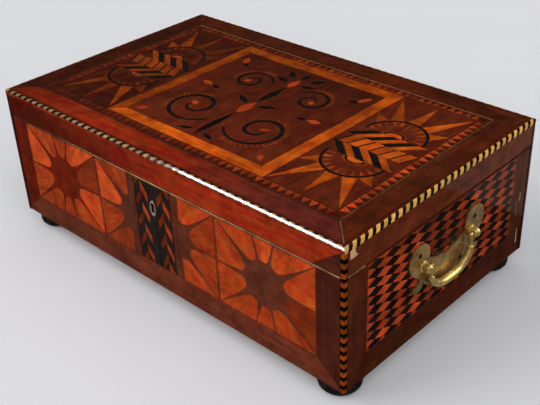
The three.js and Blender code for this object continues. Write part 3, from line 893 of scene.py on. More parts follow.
def lay_frame(sheet, outer_x, outer_y, width):
    """Four plain mitred strips."""
    inner_x, inner_y = outer_x - width, outer_y - width
    outer = rectangle(-outer_x, -outer_y, outer_x, outer_y)
    inner = rectangle(-inner_x, -inner_y, inner_x, inner_y)
    # Painted shade: the back and left strips are darker than the front and right ones
    for i, shade in enumerate((1.0, 0.95, 0.58, 0.44)):
        after = (i + 1) % 4
        outline = [outer[i], outer[after], inner[after], inner[i]]
        sheet.lay(outline, "Amber veneer", math.pi / 2 if i % 2 else 0.0, shade, vary=0.0)


def lay_straps(sheet, mirror, flat, shade):
    """Three rows of slanted blocks between the half-discs, open at their ends."""
    inner = 9.6 * MM
    # Near and far edge, lean, left end and block width in millimetres, count, woods and shade
    rows = (
        (inner, flat, 22, -44.0, 10.7, 6, ("Ebony veneer", "Amber veneer"), shade),
        (inner, -inner, -8, -31.0, 12.9, 6, ("Amber veneer",), shade * 0.9),
        (-inner, -flat, 22, -44.0, 10.7, 6, ("Ebony veneer", "Amber veneer"), shade * 0.7),
    )
    line = 2.0
    for near, far, lean, left, wide, count, woods, tone in rows:
        if len(woods) == 1:
            start = (left - line) * MM * mirror
            end = (left + wide * count) * MM * mirror
            shift = lean * MM * mirror
            bed = [(start, near), (end, near), (end + shift, far), (start + shift, far)]
            sheet.lay(bed, "Ebony veneer")
        for i in range(count):
            start = (left + i * wide) * MM
            end = start + (wide - (line if len(woods) == 1 else 0.0)) * MM
            outline = [(start, near), (end, near), (end + lean * MM, far), (start + lean * MM, far)]
            outline = [Vector((x * mirror, y)) for x, y in outline]
            wood = woods[i % len(woods)]
            angle = math.atan2(far - near, lean * MM * mirror)
            sheet.lay(outline, wood, angle, tone if wood == "Amber veneer" else 1.0, vary=0.15)


def lay_roundel(sheet, half_width, half_height, radius, mirror, shade):
    """Rays out to the panel's edges, and two half-discs parted by three rows of slanted blocks."""
    ground = rectangle(-half_width, -half_height, half_width, half_height)
    sheet.lay(ground, "Lid ground veneer", math.pi / 2, 0.7 * shade + 0.15)
    flat = 29.3 * MM
    flatness = 0.72
    ray_half, wedge_half, ring = 7.5 * MM, 2.2 * MM, 3 * MM
    wedges = 11
    # Each ray's tip as shares of the panel's half size, and its shade in the lower and the upper half
    rays = (
        (0.0, 0.97, 0.7, 0.5),
        (0.97, 0.97, 0.85, 1.0),
        (-0.97, 0.97, 0.95, 0.5),
        (0.98, 0.56, 0.5, 0.9),
        (-0.98, 0.56, 0.6, 0.4),
    )
    for side in (-1, 1):
        centre = Vector((0, side * flat))
        for x, y, low_tone, high_tone in rays:
            tone = high_tone if side > 0 else low_tone
            tip = Vector((x * half_width * mirror, y * half_height * side))
            aim = (tip - centre).normalized()
            across = Vector((-aim.y, aim.x)) * ray_half
            foot = centre + aim * (radius - 1 * MM)
            angle = math.atan2(aim.y, aim.x)
            sheet.lay([foot - across, tip, foot + across], "Amber veneer", angle, tone * shade, vary=0.12)
        start = 0.0 if side > 0 else math.pi
        sheet.lay(arc(centre, radius, start, start + math.pi, 40), "Ebony veneer")
        inside = radius - ring
        disc = arc(centre, inside, start, start + math.pi, 36)
        sheet.lay(disc, "Lid ground veneer", math.pi / 2, shade, vary=0.05)
        for i in range(wedges):
            angle = start + math.pi * (i + 0.5) / wedges
            aim = Vector((math.cos(angle), math.sin(angle)))
            across = Vector((-aim.y, aim.x)) * wedge_half
            base = centre + aim * inside * 0.97
            wedge = [base - across, base + across, centre + aim * inside * 0.66]
            sheet.lay(wedge, "Amber veneer", angle, shade * 0.5, vary=0.3, joint=False)
        bows = ((14.2, "Amber veneer", 0.55), (12.6, "Ebony veneer", 1.0), (9.6, "Amber veneer", 1.1))
        for width, wood, tone in bows:
            bow = arc(centre, width * MM, start, start + math.pi)
            bow = [Vector((p.x, centre.y + (p.y - centre.y) * flatness)) for p in bow]
            tone *= shade if wood == "Amber veneer" else 1.0
            sheet.lay(bow, wood, 0.0, tone, vary=0.05, joint=False)
    lay_straps(sheet, mirror, flat, shade)


def ribbon(points, widths):
    """Outline of a ribbon of changing width along a line of points."""
    left, right = [], []
    for i, spot in enumerate(points):
        before = points[max(0, i - 1)]
        after = points[min(len(points) - 1, i + 1)]
        along = (after - before).normalized()
        across = Vector((-along.y, along.x)) * widths[i] / 2
        left.append(spot + across)
        right.append(spot - across)
    return left + right[::-1]


def spiral(centre, outer, inner, start, turns, steps=60):
    """Points of a spiral that winds in from its outer radius."""
    points = []
    for i in range(steps + 1):
        share = i / steps
        radius = outer + (inner - outer) * share**0.8
        angle = start + turns * 2 * math.pi * share
        points.append(Vector((centre[0] + radius * math.cos(angle), centre[1] + radius * math.sin(angle))))
    return points


def leaf(base, tip, width):
    """Outline of a pointed leaf."""
    along = tip - base
    across = Vector((-along.y, along.x)).normalized() * width / 2
    belly = ((0.25, 0.8), (0.5, 1.0), (0.78, 0.55))
    first = [base + along * share + across * swell for share, swell in belly]
    second = [base + along * share - across * swell for share, swell in reversed(belly)]
    return [base] + first + [tip] + second


def lay_arabesque(sheet, half_width, half_height, width):
    """A mirrored arabesque: scrolls, leaves, lozenges and feathered tendrils."""
    ground = rectangle(-half_width, -half_height, half_width, half_height)
    # Painted shade: the ground darkens towards the back
    sheet.lay(ground, "Lid ground veneer", math.pi / 2, lambda p: 0.75 - 0.25 * p.y / half_height)
    unit = MM
    for m in (1, -1):

        def at(x, y):
            return Vector((x * unit * m, y * unit))

        def scroll(centre, outer, inner, start, turns, thick):
            points = spiral((centre[0] * unit, centre[1] * unit), outer * unit, inner * unit, start, turns)
            points = [Vector((p.x * m, p.y)) for p in points]
            count = len(points) - 1
            widths = []
            for i in range(count + 1):
                swell = math.sin(math.pi * min(1.0, i / count * 0.9 + 0.1))
                widths.append(thick * (0.45 + 0.75 * swell))
            sheet.lay(ribbon(points, widths), "Ebony veneer")
            return points

        low = scroll((47, -44), 38, 6, math.pi * 1.15, 1.55, width)
        high = scroll((44, 40), 26, 5, math.pi * 0.95, -1.45, width * 0.85)
        for points, length_mm, rows in ((low, 6.0, range(4, 26)), (high, 5.0, range(4, 22))):
            for i in rows:
                along = (points[i + 1] - points[i - 1]).normalized()
                across = Vector((-along.y, along.x))
                middle = points[i]
                outward = across if (middle - points[-1]).dot(across) > 0 else -across
                foot = middle + outward * 3.2 * unit
                end = foot + (outward + along * 0.5).normalized() * length_mm * unit
                half = along * 0.55 * unit
                barb = [foot - half, end - half, end + half, foot + half]
                sheet.lay(barb, "Amber veneer", shade=0.6, vary=0.2, joint=False)
        sheet.lay(leaf(at(47, -44), at(58, -37), 8 * unit), "Padauk veneer", 0.4, 0.6)
        sheet.lay(leaf(at(44, 40), at(52, 33), 7 * unit), "Padauk veneer", 0.4, 0.6)
        # Base, tip and width of each leaf in millimetres, and its wood
        for base, tip, wide, wood in (
            ((88, 6), (70, 3), 9, "Padauk veneer"),
            ((70, 3), (58, 1), 6, "Ebony veneer"),
            ((84, 68), (93, 86), 9, "Padauk veneer"),
            ((76, 64), (86, 70), 7, "Ebony veneer"),
            ((84, -80), (94, -91), 8, "Padauk veneer"),
            ((12, 74), (26, 88), 8, "Ebony veneer"),
            ((9, 62), (30, 66), 7, "Ebony veneer"),
            ((8, -6), (28, 4), 8, "Ebony veneer"),
            ((8, -84), (26, -91), 6, "Ebony veneer"),
        ):
            lean = math.atan2(tip[1] - base[1], (tip[0] - base[0]) * m)
            sheet.lay(leaf(at(*base), at(*tip), wide * unit), wood, lean, 0.6)
    # Lower end, upper end and width of each leaf on the middle line in millimetres, and its wood
    for low_y, high_y, wide, wood in (
        (-92, -30, 9, "Ebony veneer"),
        (-30, 2, 13, "Padauk veneer"),
        (2, 50, 10, "Ebony veneer"),
        (50, 74, 11, "Padauk veneer"),
        (74, 92, 7, "Ebony veneer"),
    ):
        outline = leaf(Vector((0, low_y * unit)), Vector((0, high_y * unit)), wide * unit)
        sheet.lay(outline, wood, math.pi / 2, 0.6)


def place_sheet(name, sheet, side, nodes, body, slot):
    """Lets a sheet of veneers into the pocket of the CAD nodes it stands for."""
    low, high = local_box(side, *nodes)
    middle = (low + high) / 2
    placing = side_axes(side) @ Matrix.Translation((middle.x, middle.y, high.z))
    bm = sheet.sheet(high.z - low.z, placing)
    return make_piece(name, bm, sheet.woods, body, slot, nodes)


def half_size(side, *nodes):
    """Half the width and height of some nodes on a side."""
    low, high = local_box(side, *nodes)
    return (high.x - low.x) / 2, (high.y - low.y) / 2


class BoxOperator:
    """What the operators share."""

    bl_options = {"REGISTER", "UNDO"}

    def sizes(self, context):
        return context.scene.inlaid_box_sizes


class INLAIDBOX_OT_carcass(BoxOperator, bpy.types.Operator):
    """Builds the carcass boards with mitred veneers outside and plain wood inside"""

    bl_idname = "inlaid_box.carcass"
    bl_label = "Carcass boards"

    def execute(self, context):
        for side in SIDES:
            self.board(context, side)
        self.floor_board()
        return {"FINISHED"}

    def board(self, context, side):
        """One side of the carcass: stiles and a rail round the inlay, mitred at the lower corners."""
        sizes = self.sizes(context)
        node = "box_" + side
        bm = merged_copy(node)
        round_off(bm, outermost(bm), sizes.edge_round)
        axes = side_axes(side)
        back = axes.inverted()
        half = BOARD_HALF[side] * MM
        inlay = [size * MM for size in BOARD_INLAY[side]]
        shade_step = 22 * MM
        normals = []
        for m in (1, -1):
            inner = Vector((inlay[0] * m, inlay[1], 0))
            run = Vector((half * m, 0, 0)) - inner
            across = Vector((-run.y, run.x, 0)).normalized()
            for shift in (-0.5, 0.5):
                spot = inner + across * shift * sizes.glue_line
                cut_plane(bm, axes @ spot, axes.to_3x3() @ across)
            normals.append((inner, across))
        cut_plane(bm, axes @ Vector((0, inlay[1], 0)), axes.to_3x3() @ Vector((0, 1, 0)))
        pale_seam_run = 28 * MM
        cuts = [inlay[0], -inlay[0], pale_seam_run - half]
        streaks = []
        if side == "front":
            cuts += [step * shade_step for step in range(-9, 9)]
        if side == "right":
            streaks = [tuple(v * MM for v in streak[:4]) + streak[4:] for streak in STILE_STREAKS]
        for left, right, low, high, _ in streaks:
            cuts += [left, right]
            for y in (low, high):
                cut_plane(bm, axes @ Vector((0, y, 0)), axes.to_3x3() @ Vector((0, 1, 0)))
        for x in cuts:
            cut_plane(bm, axes @ Vector((x, 0, 0)), axes.to_3x3() @ Vector((1, 0, 0)))
        bm.normal_update()
        along = axes.to_3x3() @ Vector((1, 0, 0))
        up = Vector((0, 0, 1))
        shades = BOARD_SHADES[side]
        plain, inside, glue_and_seam_shade, wear_and_highlight_wood, red = range(5)

        def stile(x):
            if x > 0:
                return plain, up, shades[2], 3
            return (red if side == "front" else plain), up, shades[0], 2

        # The seam's pale line: rubbed wear and a painted highlight that grows towards the right, with near-black
        # painted shade at the left end
        def seam_wear_shade_and_highlight(spot):
            begins, run = -0.19, 0.12
            share = max(0.0, min(1.0, (spot.x - begins) / run))
            return 0.12 + 0.8 * share - 0.9 * max(0.0, spot.x)

        def rule(spot, normal):
            here = back @ spot
            facing = back.to_3x3() @ normal
            if facing.z < 0.5 and here.z < -3 * MM and facing.y < 0.7:
                return inside, along, 1.0, 0
            # Top bevel at the seam: painted shade (0.4) where it isn't pale; on the front and the right end's first 28
            # mm, worn wood with a painted highlight
            if 0.15 < facing.y < 0.98 and facing.z > 0.1 and here.y > 100 * MM:
                worn = side == "front" or (side == "right" and here.x < pale_seam_run - half)
                if not worn:
                    return plain, along, 0.4, 1
                return wear_and_highlight_wood, along, seam_wear_shade_and_highlight if side == "front" else 0.6, 0
            for left, right, low, high, shade in streaks:
                if left < here.x < right and low < here.y < high and facing.z > 0.9:
                    return wear_and_highlight_wood, up, shade, 0
            if facing.y > 0.7:
                return plain, along, 0.8, 1
            if here.y < inlay[1] + 1 * MM:
                for inner, across in normals:
                    if inner.x * here.x < 0 or abs(here.x) < inlay[0]:
                        continue
                    gap = (Vector((here.x, here.y, 0)) - inner).dot(across)
                    if abs(gap) < sizes.glue_line / 2:
                        return glue_and_seam_shade, along, 1.0, 0
                    if gap * across.y > 0:
                        return stile(here.x)
                return plain, along, shades[1], 1
            if abs(here.x) > inlay[0]:
                return stile(here.x)
            return plain, along, shades[1], 4

        dress(bm, node, rule)
        wood = "Brown mahogany" if side == "front" else "End walnut"
        slot = "mahogany" if side == "front" else "dark_walnut"
        woods = [wood, "Planed inside wood", "Glue line", "Worn edge and painted highlight", "Red mahogany"]
        make_piece(side + "_board", bm, woods, "box", slot, [node])

    def floor_board(self):
        """The bottom board, plain wood on both faces."""
        bm = merged_copy("box_bottom")
        dress(bm, "box_bottom", lambda spot, normal: (0, (1, 0, 0), 1.0, 0))
        make_piece("bottom_board", bm, ["Planed inside wood"], "box", "plain_wood", ["box_bottom"])


class INLAIDBOX_OT_lid(BoxOperator, bpy.types.Operator):
    """Builds the lid's mitred border, its rims and the chipped corner"""

    bl_idname = "inlaid_box.lid"
    bl_label = "Lid boards"

    def execute(self, context):
        self.top(context)
        for side in SIDES:
            self.rim(context, side)
        return {"FINISHED"}

    def top(self, context):
        """The top board: a dark border mitred at the four corners."""
        sizes = self.sizes(context)
        bm = merged_copy("lid_top")
        axes = side_axes("top")
        back = axes.inverted()
        half = Vector((*LID_FIELD, 0)) * MM
        for x in (1, -1):
            for y in (1, -1):
                across = Vector((-y, x, 0)).normalized()
                inner = Vector((half.x * x, half.y * y, 0))
                for shift in (-0.5, 0.5):
                    cut_plane(bm, axes @ (inner + across * shift * sizes.glue_line), across)
        shade_step = 50 * MM
        for step in range(-4, 5):
            cut_plane(bm, Vector((step * shade_step, 0, 0)), Vector((1, 0, 0)))
        opened = (half.x, -half.y)
        across = Vector((1, 1, 0)).normalized()
        for shift in (-1.1, 0.9):
            cut_plane(bm, axes @ (Vector((*opened, 0)) + across * shift * MM), across)
        bm.normal_update()
        dark, inside, glue_and_seam_shade, red, wear_and_highlight_wood = range(5)

        def rule(spot, normal):
            here = back @ spot
            if normal.z < 0.5 and here.z < -4 * MM:
                return inside, (1, 0, 0), 1.0, 0
            gap = (abs(here.x) - half.x) - (abs(here.y) - half.y)
            if here.x > half.x and here.y < -half.y and abs(gap) < 1.3 * MM:
                return (wear_and_highlight_wood, (1, -1, 0), 0.55, 0) if gap > 0 else (glue_and_seam_shade, (1, -1, 0), 1.0, 0)
            if here.x < -half.x and here.y < -half.y and abs(gap) < sizes.glue_line * 0.7:
                return wear_and_highlight_wood, (1, 1, 0), 0.8, 0
            if abs(gap) < sizes.glue_line * 0.7:
                return glue_and_seam_shade, (1, 0, 0), 1.0, 0
            # Painted shade: the border's right, back and left strips are darkened in turn, darkest on the left
            if gap > 0:
                return dark, (0, 1, 0), 0.8 if here.x > 0 else 0.38, 1 + (here.x > 0)
            if here.y > 0:
                return dark, (1, 0, 0), 0.62, 4
            return red, (1, 0, 0), front_strip_tone, 3, browned

        # Front strip: lighter round 95 mm left of the middle, darkened towards the left corner as painted shade,
        # darker and browner towards the right
        def front_strip_tone(spot):
            patch = max(0.0, 1 - abs(spot.x + 95 * MM) / (75 * MM))
            corner = max(0.0, min(1.0, (-spot.x - 0.15) / 0.1))
            return 0.6 + 0.3 * patch - 0.25 * corner - 0.24 * rightward_share(spot)

        def browned(spot):
            return 0.075 * rightward_share(spot)

        def rightward_share(spot):
            begins, run = 0.03, 0.12
            return max(0.0, min(1.0, (spot.x - begins) / run))

        dress(bm, "lid_top", rule)
        woods = ["Border walnut", "Planed inside wood", "Glue line", "Red mahogany", "Worn edge and painted highlight"]
        make_piece("lid_border", bm, woods, "lid", "dark_walnut", ["lid_top"])

    def rim(self, context, side):
        """One edge of the lid; the right one shows bare wood where its veneer is chipped."""
        node = "lid_" + side
        bm = merged_copy(node)
        axes = side_axes(side)
        back = axes.inverted()
        lowest = min(v.co.z for v in bm.verts)
        edges = [e for e in outermost(bm) if all((back @ v.co).z > -0.1 * MM for v in e.verts)]
        edges = [e for e in edges if all(abs(v.co.z - lowest) < 0.02 * MM for v in e.verts)]
        round_off(bm, edges, self.sizes(context).edge_round)
        along = axes.to_3x3() @ Vector((1, 0, 0))
        patch = Vector((212 * MM, (back @ Vector((0, 0, lowest))).y, 0))
        patch_edge = Vector((0.6, -0.8, 0))
        shade_step = 46 * MM
        plain, inside, glue_and_seam_shade, bare, brown = range(5)
        if side == "front":
            for step in range(-5, 5):
                cut_plane(bm, Vector((step * shade_step, 0, 0)), along)
            cut_plane(bm, axes @ patch, axes.to_3x3() @ patch_edge)
            bm.normal_update()

        # Shade rises from dark at the front rim's left end to lighter towards the right
        def graded(spot):
            begins, run = -0.24, 0.36
            share = max(0.0, min(1.0, (spot.x - begins) / run))
            return 0.2 + 0.62 * share * share * (3 - 2 * share)

        def rule(spot, normal):
            here = back @ spot
            facing = back.to_3x3() @ normal
            if side == "right" and facing.z > 0.3 and -2 * MM < here.z < -0.8 * MM:
                return bare, along, 1.0, 0
            if here.z < -3 * MM and facing.z < 0.5:
                return inside, along, 1.0, 0
            # Painted shade: the rim's downward-facing lower bevel takes the near-black glue-line wood, for the shadow
            # in the seam under the lid
            if facing.y < -0.15:
                return glue_and_seam_shade, along, 1.0, 0
            if side != "front":
                return plain, along, 0.8 if side == "right" else 0.6, 1
            if (Vector((here.x, here.y, 0)) - patch).dot(patch_edge) > 0:
                return brown, along, 0.45, 2
            return plain, along, graded, 1

        dress(bm, node, rule)
        wood = "Red mahogany" if side == "front" else "End walnut"
        slot = "mahogany" if side == "front" else "dark_walnut"
        woods = [wood, "Planed inside wood", "Glue line", "Bare chipped wood", "Brown mahogany"]
        make_piece("lid_" + side + "_rim", bm, woods, "lid", slot, [node])


class INLAIDBOX_OT_stars(BoxOperator, bpy.types.Operator):
    """Lays the two stars and two half-stars of the front"""

    bl_idname = "inlaid_box.stars"
    bl_label = "Front stars"

    def execute(self, context):
        reach = self.sizes(context).star_reach
        for name, shades in PETAL_SHADES.items():
            nodes = [f"front_{name}_petals", f"front_{name}_star"]
            sheet = Inlay(nodes[0])
            half = half_size("front", *nodes)
            if name in ("left", "right"):
                redder = ("Red mahogany", math.pi / 2, 0.4)
                plain = ("Brown star veneer", math.pi / 2)
                lay_star(sheet, *half, reach, shades, redder if name == "left" else plain)
            else:
                lay_half_star(sheet, *half, reach, shades, -1 if name == "inner_left" else 1)
            place_sheet(f"front_{name}_inlay", sheet, "front", nodes, "box", "padauk")
        return {"FINISHED"}


class INLAIDBOX_OT_keyhole(BoxOperator, bpy.types.Operator):
    """Lays the chevron strip round the keyhole and fits its brass escutcheon"""

    bl_idname = "inlaid_box.keyhole"
    bl_label = "Keyhole strip"

    def execute(self, context):
        sizes = self.sizes(context)
        sheet = Inlay("keyhole_panel")
        lay_chevrons(sheet, *half_size("front", "keyhole_panel"), sizes.chevron_pitch)
        self.strip(sheet)
        self.escutcheon()
        return {"FINISHED"}

    def outline(self, steps=20):
        """The keyhole's own outline, round above a slot, from its CAD size."""
        low, high = local_box("front", "keyhole_escutcheon")
        top = (low.y + high.y) / 2 + 3.4 * MM
        radius, slot, drop = 2.9 * MM, 2.3 * MM, 9 * MM
        shoulder = math.acos(slot / radius)
        points = arc((0, top), radius, -shoulder, math.pi + shoulder, steps)
        return points + [Vector((-slot, top - drop)), Vector((slot, top - drop))]

    def strip(self, sheet):
        """The strip itself, with the keyhole's shape laid in darkened ebony as painted shade for the hole."""
        low, high = local_box("front", "keyhole_panel")
        middle = (low + high) / 2
        keyhole = [Vector((p.x, p.y - middle.y)) for p in self.outline()]
        # Painted shade: the keyhole is a dark ebony tile, not an opening
        sheet.lay(keyhole, "Ebony veneer", 0.0, 0.5, 0.0, joint=False)
        place_sheet("keyhole_strip", sheet, "front", ["keyhole_panel"], "box", "ebony")

    def escutcheon(self):
        """An oval brass plate with a rounded rim."""
        low, high = local_box("front", "keyhole_escutcheon")
        middle = (low + high) / 2
        wide, tall = (high.x - low.x) / 2, (high.y - low.y) / 2
        bm = bmesh.new()
        steps = 48
        hole = self.outline(40)
        rings = []
        for i in range(steps):
            angle = 2 * math.pi * i / steps
            rings.append(Vector((wide * math.cos(angle), middle.y + tall * math.sin(angle))))
        outer = [bm.verts.new((p.x, p.y, low.z)) for p in rings]
        inner = [bm.verts.new((p.x, p.y, low.z)) for p in hole]
        edges = []
        for loop in (outer, inner):
            edges += [bm.edges.new((a, b)) for a, b in zip(loop, loop[1:] + loop[:1])]
        bmesh.ops.triangle_fill(bm, use_beauty=True, use_dissolve=False, edges=edges)
        grown = bmesh.ops.extrude_face_region(bm, geom=bm.faces[:], use_keep_orig=True)
        top = [v for v in grown["geom"] if isinstance(v, bmesh.types.BMVert)]
        bmesh.ops.translate(bm, verts=top, vec=(0, 0, high.z - low.z))
        bmesh.ops.recalc_face_normals(bm, faces=bm.faces)
        rim = []
        for edge in bm.edges:
            on_top = all(abs(v.co.z - high.z) < 1e-6 for v in edge.verts)
            if on_top and edge.calc_face_angle(0) > 1:
                rim.append(edge)
        round_off(bm, rim, 0.35 * MM, 2)
        bm.transform(side_axes("front"))
        make_piece("escutcheon", bm, ["Pale metal"], "box", "brass", ["keyhole_escutcheon"])


class INLAIDBOX_OT_ends(BoxOperator, bpy.types.Operator):
    """Lays the lozenge panels of the two ends"""

    bl_idname = "inlaid_box.ends"
    bl_label = "End panels"

    def execute(self, context):
        sizes = self.sizes(context)
        for side in ("left", "right"):
            node = side + "_harlequin_panel"
            sheet = Inlay(node)
            lay_harlequin(sheet, *half_size(side, node), sizes.lozenge_width, sizes.lozenge_height)
            place_sheet(side + "_lozenges", sheet, side, [node], "box", "padauk")
        return {"FINISHED"}


class INLAIDBOX_OT_lid_inlay(BoxOperator, bpy.types.Operator):
    """Lays the lid's banding, centre frame, arabesque and roundels"""

    bl_idname = "inlaid_box.lid_inlay"
    bl_label = "Lid inlay"

    def execute(self, context):
        sizes = self.sizes(context)
        banding = Inlay("lid_banding")
        outer_x, outer_y = half_size("top", "lid_banding")
        inner_x = local_box("top", "lid_right_panel")[1].x
        inner_y = half_size("top", "lid_right_panel")[1]
        lay_banding(banding, outer_x, outer_y, inner_x, inner_y, sizes.tooth_pitch)
        place_sheet("saw_tooth_banding", banding, "top", ["lid_banding"], "lid", "amber_wood")
        surround = Inlay("lid_centre_frame")
        lay_frame(surround, *half_size("top", "lid_centre_frame"), 15 * MM)
        place_sheet("centre_frame_strips", surround, "top", ["lid_centre_frame"], "lid", "amber_wood")
        centre = Inlay("lid_centre_panel")
        lay_arabesque(centre, *half_size("top", "lid_centre_panel"), sizes.scroll_width)
        place_sheet("arabesque", centre, "top", ["lid_centre_panel"], "lid", "star_wood")
        # Painted shade: the left roundel is laid much darker than the right one
        for side, mirror, shade in (("left", -1, 0.45), ("right", 1, 1.0)):
            node = f"lid_{side}_panel"
            sheet = Inlay(node)
            lay_roundel(sheet, *half_size("top", node), sizes.roundel_radius, mirror, shade)
            place_sheet(f"{side}_roundel", sheet, "top", [node], "lid", "star_wood")
        return {"FINISHED"}


class INLAIDBOX_OT_stringing(BoxOperator, bpy.types.Operator):
    """Cuts the stringing on the lid's arris and the corners into pale and black blocks"""

    bl_idname = "inlaid_box.stringing"
    bl_label = "Stringing"

    def execute(self, context):
        sizes = self.sizes(context)
        up = Vector((0, 0, 1))
        for side in SIDES:
            axes = side_axes(side).to_3x3()
            along = axes @ Vector((1, 0, 0))
            out = axes @ Vector((0, 0, 1))
            front = side == "front"
            slope = (along + out * 0.8 - up * 0.25).normalized()
            shows = (3.5 * MM, 2.5 * MM) if front else (2.7 * MM, 5.6 * MM)
            pale = "Boxwood stringing" if front else "Honey stringing"
            woods = [pale, "Ebony veneer", "Border walnut", "Red mahogany" if front else "End walnut"]
            node = "lid_string_" + side
            worn = (sizes.string_flat, 1) if front else (sizes.string_round, 5)
            self.string(node, (along, out, up), slope, sizes.string_pair, 0.5, worn, shows, woods, "lid")
        for corner in CORNERS:
            blocks = ["Amber stringing", "Ebony veneer"] if corner == "front_right" else ["End walnut"] * 2
            woods = blocks + ["Ebony veneer"] * 2
            across = Vector((1 if "right" in corner else -1, 0, 0))
            out = Vector((0, -1 if "front" in corner else 1, 0))
            shows = (4.2 * MM, 4.2 * MM)
            worn = (0.8 * MM, 3)
            run = (up, out, across)
            for start, body in (("corner_string_", "box"), ("lid_corner_string_", "lid")):
                self.string(start + corner, run, up, sizes.corner_pair, 0.5, worn, shows, woods, body)
        return {"FINISHED"}

    def string(self, node, axes, slope, pair, pale, worn, shows, woods, body):
        """One string: its outer arris is worn round and its outer part is cut into slanted blocks."""
        along, first, second = axes
        bm = merged_copy(node)
        top = max(v.co.dot(first) for v in bm.verts)
        high = max(v.co.dot(second) for v in bm.verts)
        arris = []
        close_by = 0.01 * MM
        for edge in bm.edges:
            gaps = [abs(v.co.dot(first) - top) for v in edge.verts]
            gaps += [abs(v.co.dot(second) - high) for v in edge.verts]
            if max(gaps) < close_by:
                arris.append(edge)
        if not arris:
            raise RuntimeError(f"{node} has no outer arris")
        round_off(bm, arris, *worn)
        cut_plane(bm, first * (top - shows[0]), first)
        cut_plane(bm, second * (high - shows[1]), second)
        near = min(v.co.dot(slope) for v in bm.verts)
        far = max(v.co.dot(slope) for v in bm.verts)
        step = pair * slope.dot(along)
        count = int((far - near) / step) + 1
        for i in range(count + 1):
            for share in (0.0, pale):
                cut_plane(bm, slope * (near + step * (i + share)), slope)
        bm.normal_update()
        chance = random.Random(node)
        shades = [chance.uniform(0.62, 1.05) for _ in range(count * 2 + 6)]
        if woods[0] == woods[1]:
            shades = [0.5] * len(shades)
        # Painted shade: the front string's blocks darken towards its left end and lighten to the right, where the
        # light catches its arris
        if node == "lid_string_front":
            shades = [s * (0.35 + 0.3 * i / len(shades)) for i, s in enumerate(shades)]
        if "corner" in node:
            shades = [s * 0.6 for s in shades]

        def rule(spot, normal):
            if top - spot.dot(first) > shows[0]:
                return 2, along, 0.6, 0
            if high - spot.dot(second) > shows[1]:
                return 3, along, 0.6, 0
            place = (spot.dot(slope) - near) / step
            block = math.floor(place)
            black = place - block > pale
            return int(black), along, shades[block * 2 + black], block * 2 + black

        dress(bm, node, rule)
        make_piece(node + "_blocks", bm, woods, body, "boxwood", [node])


def turned(profile, steps=40):
    """A lathe-turned solid about the up axis, from (radius, height) pairs between two ends on the axis."""
    bm = bmesh.new()
    verts = [bm.verts.new((r, 0, h)) for r, h in profile]
    edges = [bm.edges.new(pair) for pair in zip(verts, verts[1:])]
    bmesh.ops.spin(
        bm,
        geom=verts + edges,
        cent=(0, 0, 0),
        axis=(0, 0, 1),
        dvec=(0, 0, 0),
        angle=2 * math.pi,
        steps=steps,
        use_merge=True,
        use_duplicate=False,
    )
    bmesh.ops.remove_doubles(bm, verts=bm.verts, dist=0.005 * MM)
    bmesh.ops.recalc_face_normals(bm, faces=bm.faces)
    return bm


class INLAIDBOX_OT_feet(BoxOperator, bpy.types.Operator):
    """Turns the four ebonised feet"""

    bl_idname = "inlaid_box.feet"
    bl_label = "Feet"

    def execute(self, context):
        # Shares of the foot's radius and height
        shape = [(0, 0), (0.56, 0), (0.7, 0.03), (0.86, 0.13), (0.96, 0.27), (1, 0.44)]
        shape += [(0.99, 0.57), (0.95, 0.7), (0.88, 0.83), (0.78, 0.985), (0, 0.985)]
        for corner in CORNERS:
            node = "foot_" + corner
            low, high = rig.box(node)
            radius = (high.x - low.x) / 2
            rise = (high.z - low.z) / 0.985
            bm = turned([(r * radius, h * rise) for r, h in shape], 48)
            bm.transform(Matrix.Translation(((low.x + high.x) / 2, (low.y + high.y) / 2, low.z)))
            make_piece("turned_" + node, bm, ["Ebonised foot"], "box", "ebonised", [node], 50)
        return {"FINISHED"}


def curve_run(start, *knots, steps=8):
    """An outline in millimetres from curve pieces: (end), (control, end) or (control, control, end)."""
    points = [Vector(start)]
    for knot in knots:
        here = points[-1]
        if len(knot) == 1:
            points.append(Vector(knot[0]))
            continue
        if len(knot) == 2:
            bend, end = Vector(knot[0]), Vector(knot[1])
            first, second = here.lerp(bend, 2 / 3), end.lerp(bend, 2 / 3)
        else:
            first, second, end = (Vector(k) for k in knot)
        run = interpolate_bezier(here.to_3d(), first.to_3d(), second.to_3d(), end.to_3d(), steps)
        points += [Vector(p).to_2d() for p in run[1:]]
    return points


